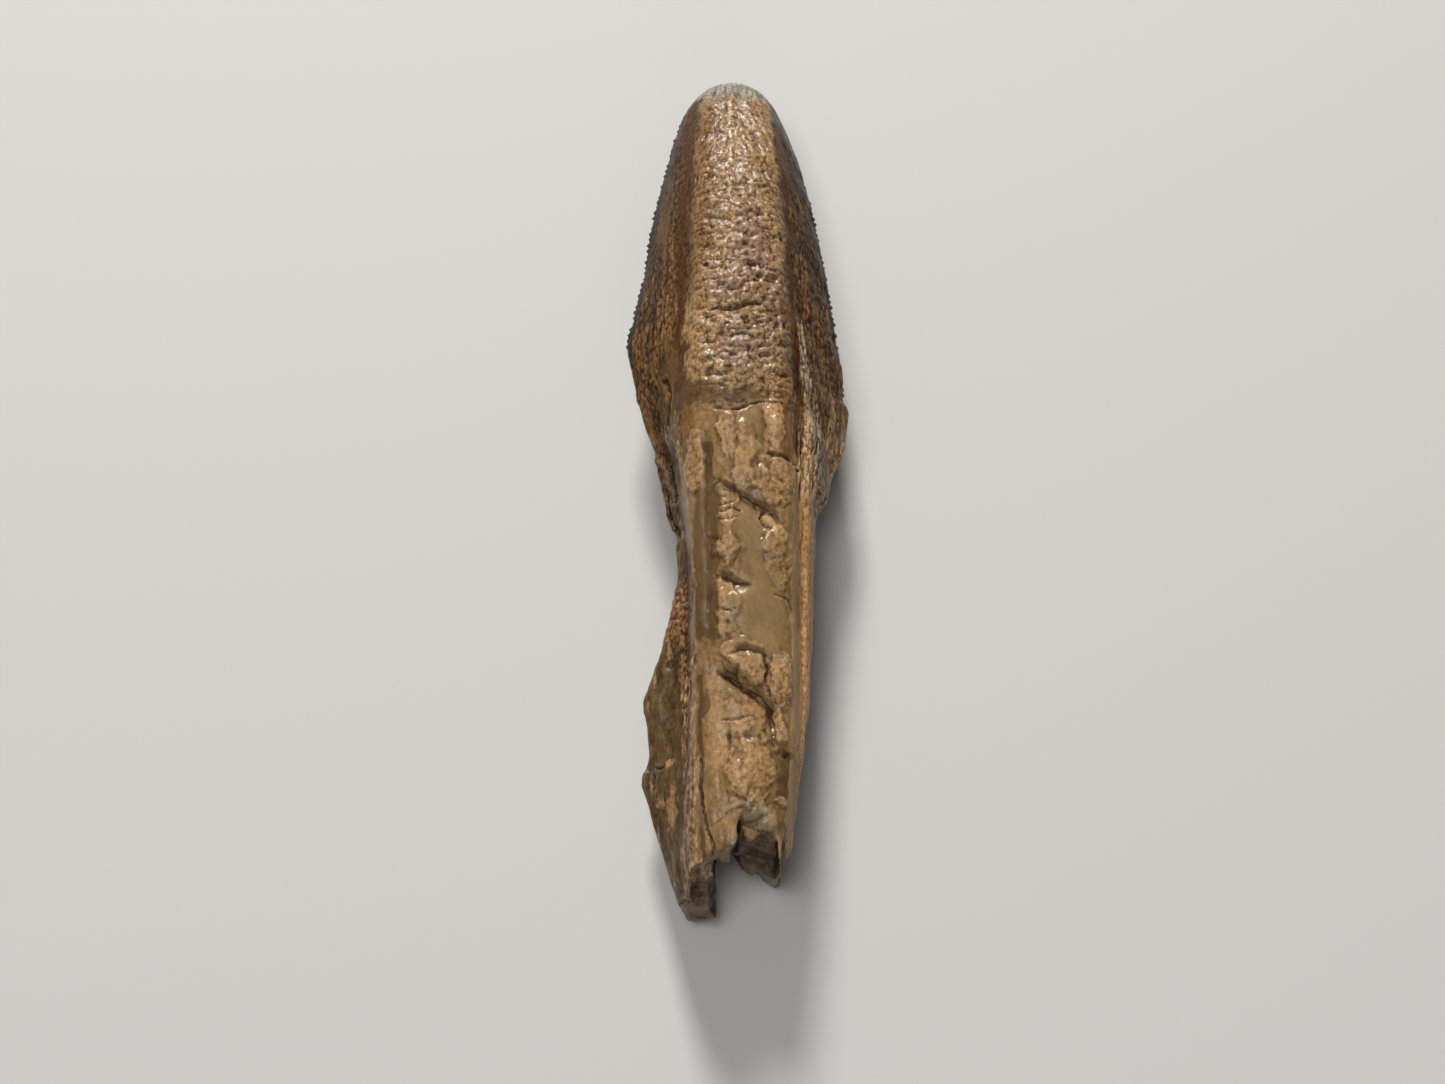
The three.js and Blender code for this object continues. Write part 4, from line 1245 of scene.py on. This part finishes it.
# ------------------------------------------------------------------ stage

LENS = 52
CAMERA_ELEVATION = 69  # degrees above the floor
CAMERA_DISTANCE = 185  # mm
AIM = (-1.3, -7.6, 7)  # the place that the camera and the lights point at, mm
FLOOR_HALF = 1.5  # half the floor's width, m

# soft lights: name, direction towards the light, distance m, width m, watts, colour
LIGHTS = (
    ("key", (-0.1, 0.84, 0.54), 0.8, 0.15, 8, (1, 0.97, 0.92)),
    ("overhead", (-0.2, -0.1, 1), 0.7, 0.3, 2.4, (1, 1, 1)),
    ("fill", (0.1, -1, 0.55), 0.8, 0.3, 0.5, (1, 1, 1)),
)


def pale_floor():
    """A wide pale floor under the tooth."""
    mesh = bpy.data.meshes.new("floor")
    corners = [(x * FLOOR_HALF, y * FLOOR_HALF, 0) for x, y in ((-1, -1), (1, -1), (1, 1), (-1, 1))]
    mesh.from_pydata(corners, [], [(0, 1, 2, 3)])
    material = bpy.data.materials.new("floor_paper")
    material.use_nodes = True
    shader = material.node_tree.nodes["Principled BSDF"]
    shader.inputs["Base Color"].default_value = (0.5, 0.495, 0.485, 1)
    shader.inputs["Roughness"].default_value = 0.8
    mesh.materials.append(material)
    new_object("floor", mesh)


def soft_light(name, toward, distance, wide, watts, colour):
    """A square area light that faces the tooth from one direction."""
    light = bpy.data.lights.new(name, "AREA")
    light.shape = "SQUARE"
    light.size = wide
    light.energy = watts
    light.color = colour
    lamp = new_object(name, light)
    direction = Vector(toward).normalized()
    lamp.location = Vector(AIM) * MM + direction * distance
    lamp.rotation_euler = direction.to_track_quat("Z", "Y").to_euler()


def studio_air(scene):
    """Faint warm light from all around."""
    world = bpy.data.worlds.new("studio")
    world.use_nodes = True
    background = world.node_tree.nodes["Background"]
    background.inputs["Color"].default_value = (1, 0.98, 0.94, 1)
    background.inputs["Strength"].default_value = 0.1
    scene.world = world
    scene.view_settings.view_transform = "Standard"


def view_camera():
    """A camera that looks down on the tooth from its root's side."""
    lens = bpy.data.cameras.new("camera")
    lens.lens = LENS
    lens.sensor_width = 36
    lens.clip_start = 0.005
    camera = new_object("camera", lens)
    tilt = math.radians(CAMERA_ELEVATION)
    forward = Vector((0, math.cos(tilt), -math.sin(tilt)))
    camera.location = Vector(AIM) * MM - forward * CAMERA_DISTANCE * MM
    camera.rotation_euler = (math.radians(90 - CAMERA_ELEVATION), 0, 0)
    return camera


# ------------------------------------------------------------------ operators


class ToothDenticles(bpy.types.Operator):
    """Sets a row of fine denticles along both margins of the crown"""

    bl_idname = "tooth.denticles"
    bl_label = "Margin Denticles"

    def execute(self, context):
        sizes = context.scene.tooth_sizes
        material = bpy.data.materials.new("denticle_mineral")
        curve = margin_curve(DENTICLES, [margin_path(*run) for run in DENTICLE_RUNS])
        values = {
            "Pitch": sizes.denticle_pitch,
            "Radius": sizes.denticle_radius,
            "Seed": DENTICLE_SEED,
        }
        made = grow(curve, denticle_tree(material), values)
        made.name = DENTICLES
        if not made.data.vertices:
            raise RuntimeError("no denticles were made")
        return {"FINISHED"}


class ToothSkin(bpy.types.Operator):
    """Remeshes the CAD solid with its denticles as one skin, carves it and gives it its material"""

    bl_idname = "tooth.skin"
    bl_label = "Tooth Skin"

    def execute(self, context):
        sizes = context.scene.tooth_sizes
        skin = build_skin(sizes)
        mesh = skin.data
        carve_skin(mesh, sizes)
        mesh.materials.clear()
        mesh.materials.append(mineral(context.scene.tooth_colours))
        mesh.shade_smooth()
        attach(skin, "root")
        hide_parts(NODE)
        return {"FINISHED"}


class ToothStage(bpy.types.Operator):
    """Adds the pale floor, the soft lights and the camera"""

    bl_idname = "tooth.stage"
    bl_label = "Stage"

    def execute(self, context):
        scene = context.scene
        pale_floor()
        for light in LIGHTS:
            soft_light(*light)
        studio_air(scene)
        scene.camera = view_camera()
        return {"FINISHED"}


# ------------------------------------------------------------------ panel and registration


class ToothPanel(bpy.types.Panel):
    """Lists the tooth's settings and the operators that make it"""

    bl_idname = "VIEW3D_PT_fossil_tooth"
    bl_label = "Fossil Tooth"
    bl_space_type = "VIEW_3D"
    bl_region_type = "UI"
    bl_category = "Fossil Tooth"

    def draw(self, context):
        column = self.layout.column()
        for group in (context.scene.tooth_sizes, context.scene.tooth_colours):
            for name in group.__annotations__:
                column.prop(group, name)
        for operator in OPERATORS:
            column.operator(operator.bl_idname)


OPERATORS = (ToothDenticles, ToothSkin, ToothStage)
CLASSES = (ToothSizes, ToothColours, *OPERATORS, ToothPanel)


def register():
    """Makes the classes and the scene's settings known to Blender."""
    for kind in CLASSES:
        bpy.utils.register_class(kind)
    bpy.types.Scene.tooth_sizes = bpy.props.PointerProperty(type=ToothSizes)
    bpy.types.Scene.tooth_colours = bpy.props.PointerProperty(type=ToothColours)


def unregister():
    """Takes the settings and the classes out of Blender again."""
    del bpy.types.Scene.tooth_colours
    del bpy.types.Scene.tooth_sizes
    for kind in reversed(CLASSES):
        bpy.utils.unregister_class(kind)


def main():
    register()
    bpy.ops.tooth.denticles()
    bpy.ops.tooth.skin()
    bpy.ops.tooth.stage()


if __name__ == "__main__":
    main()
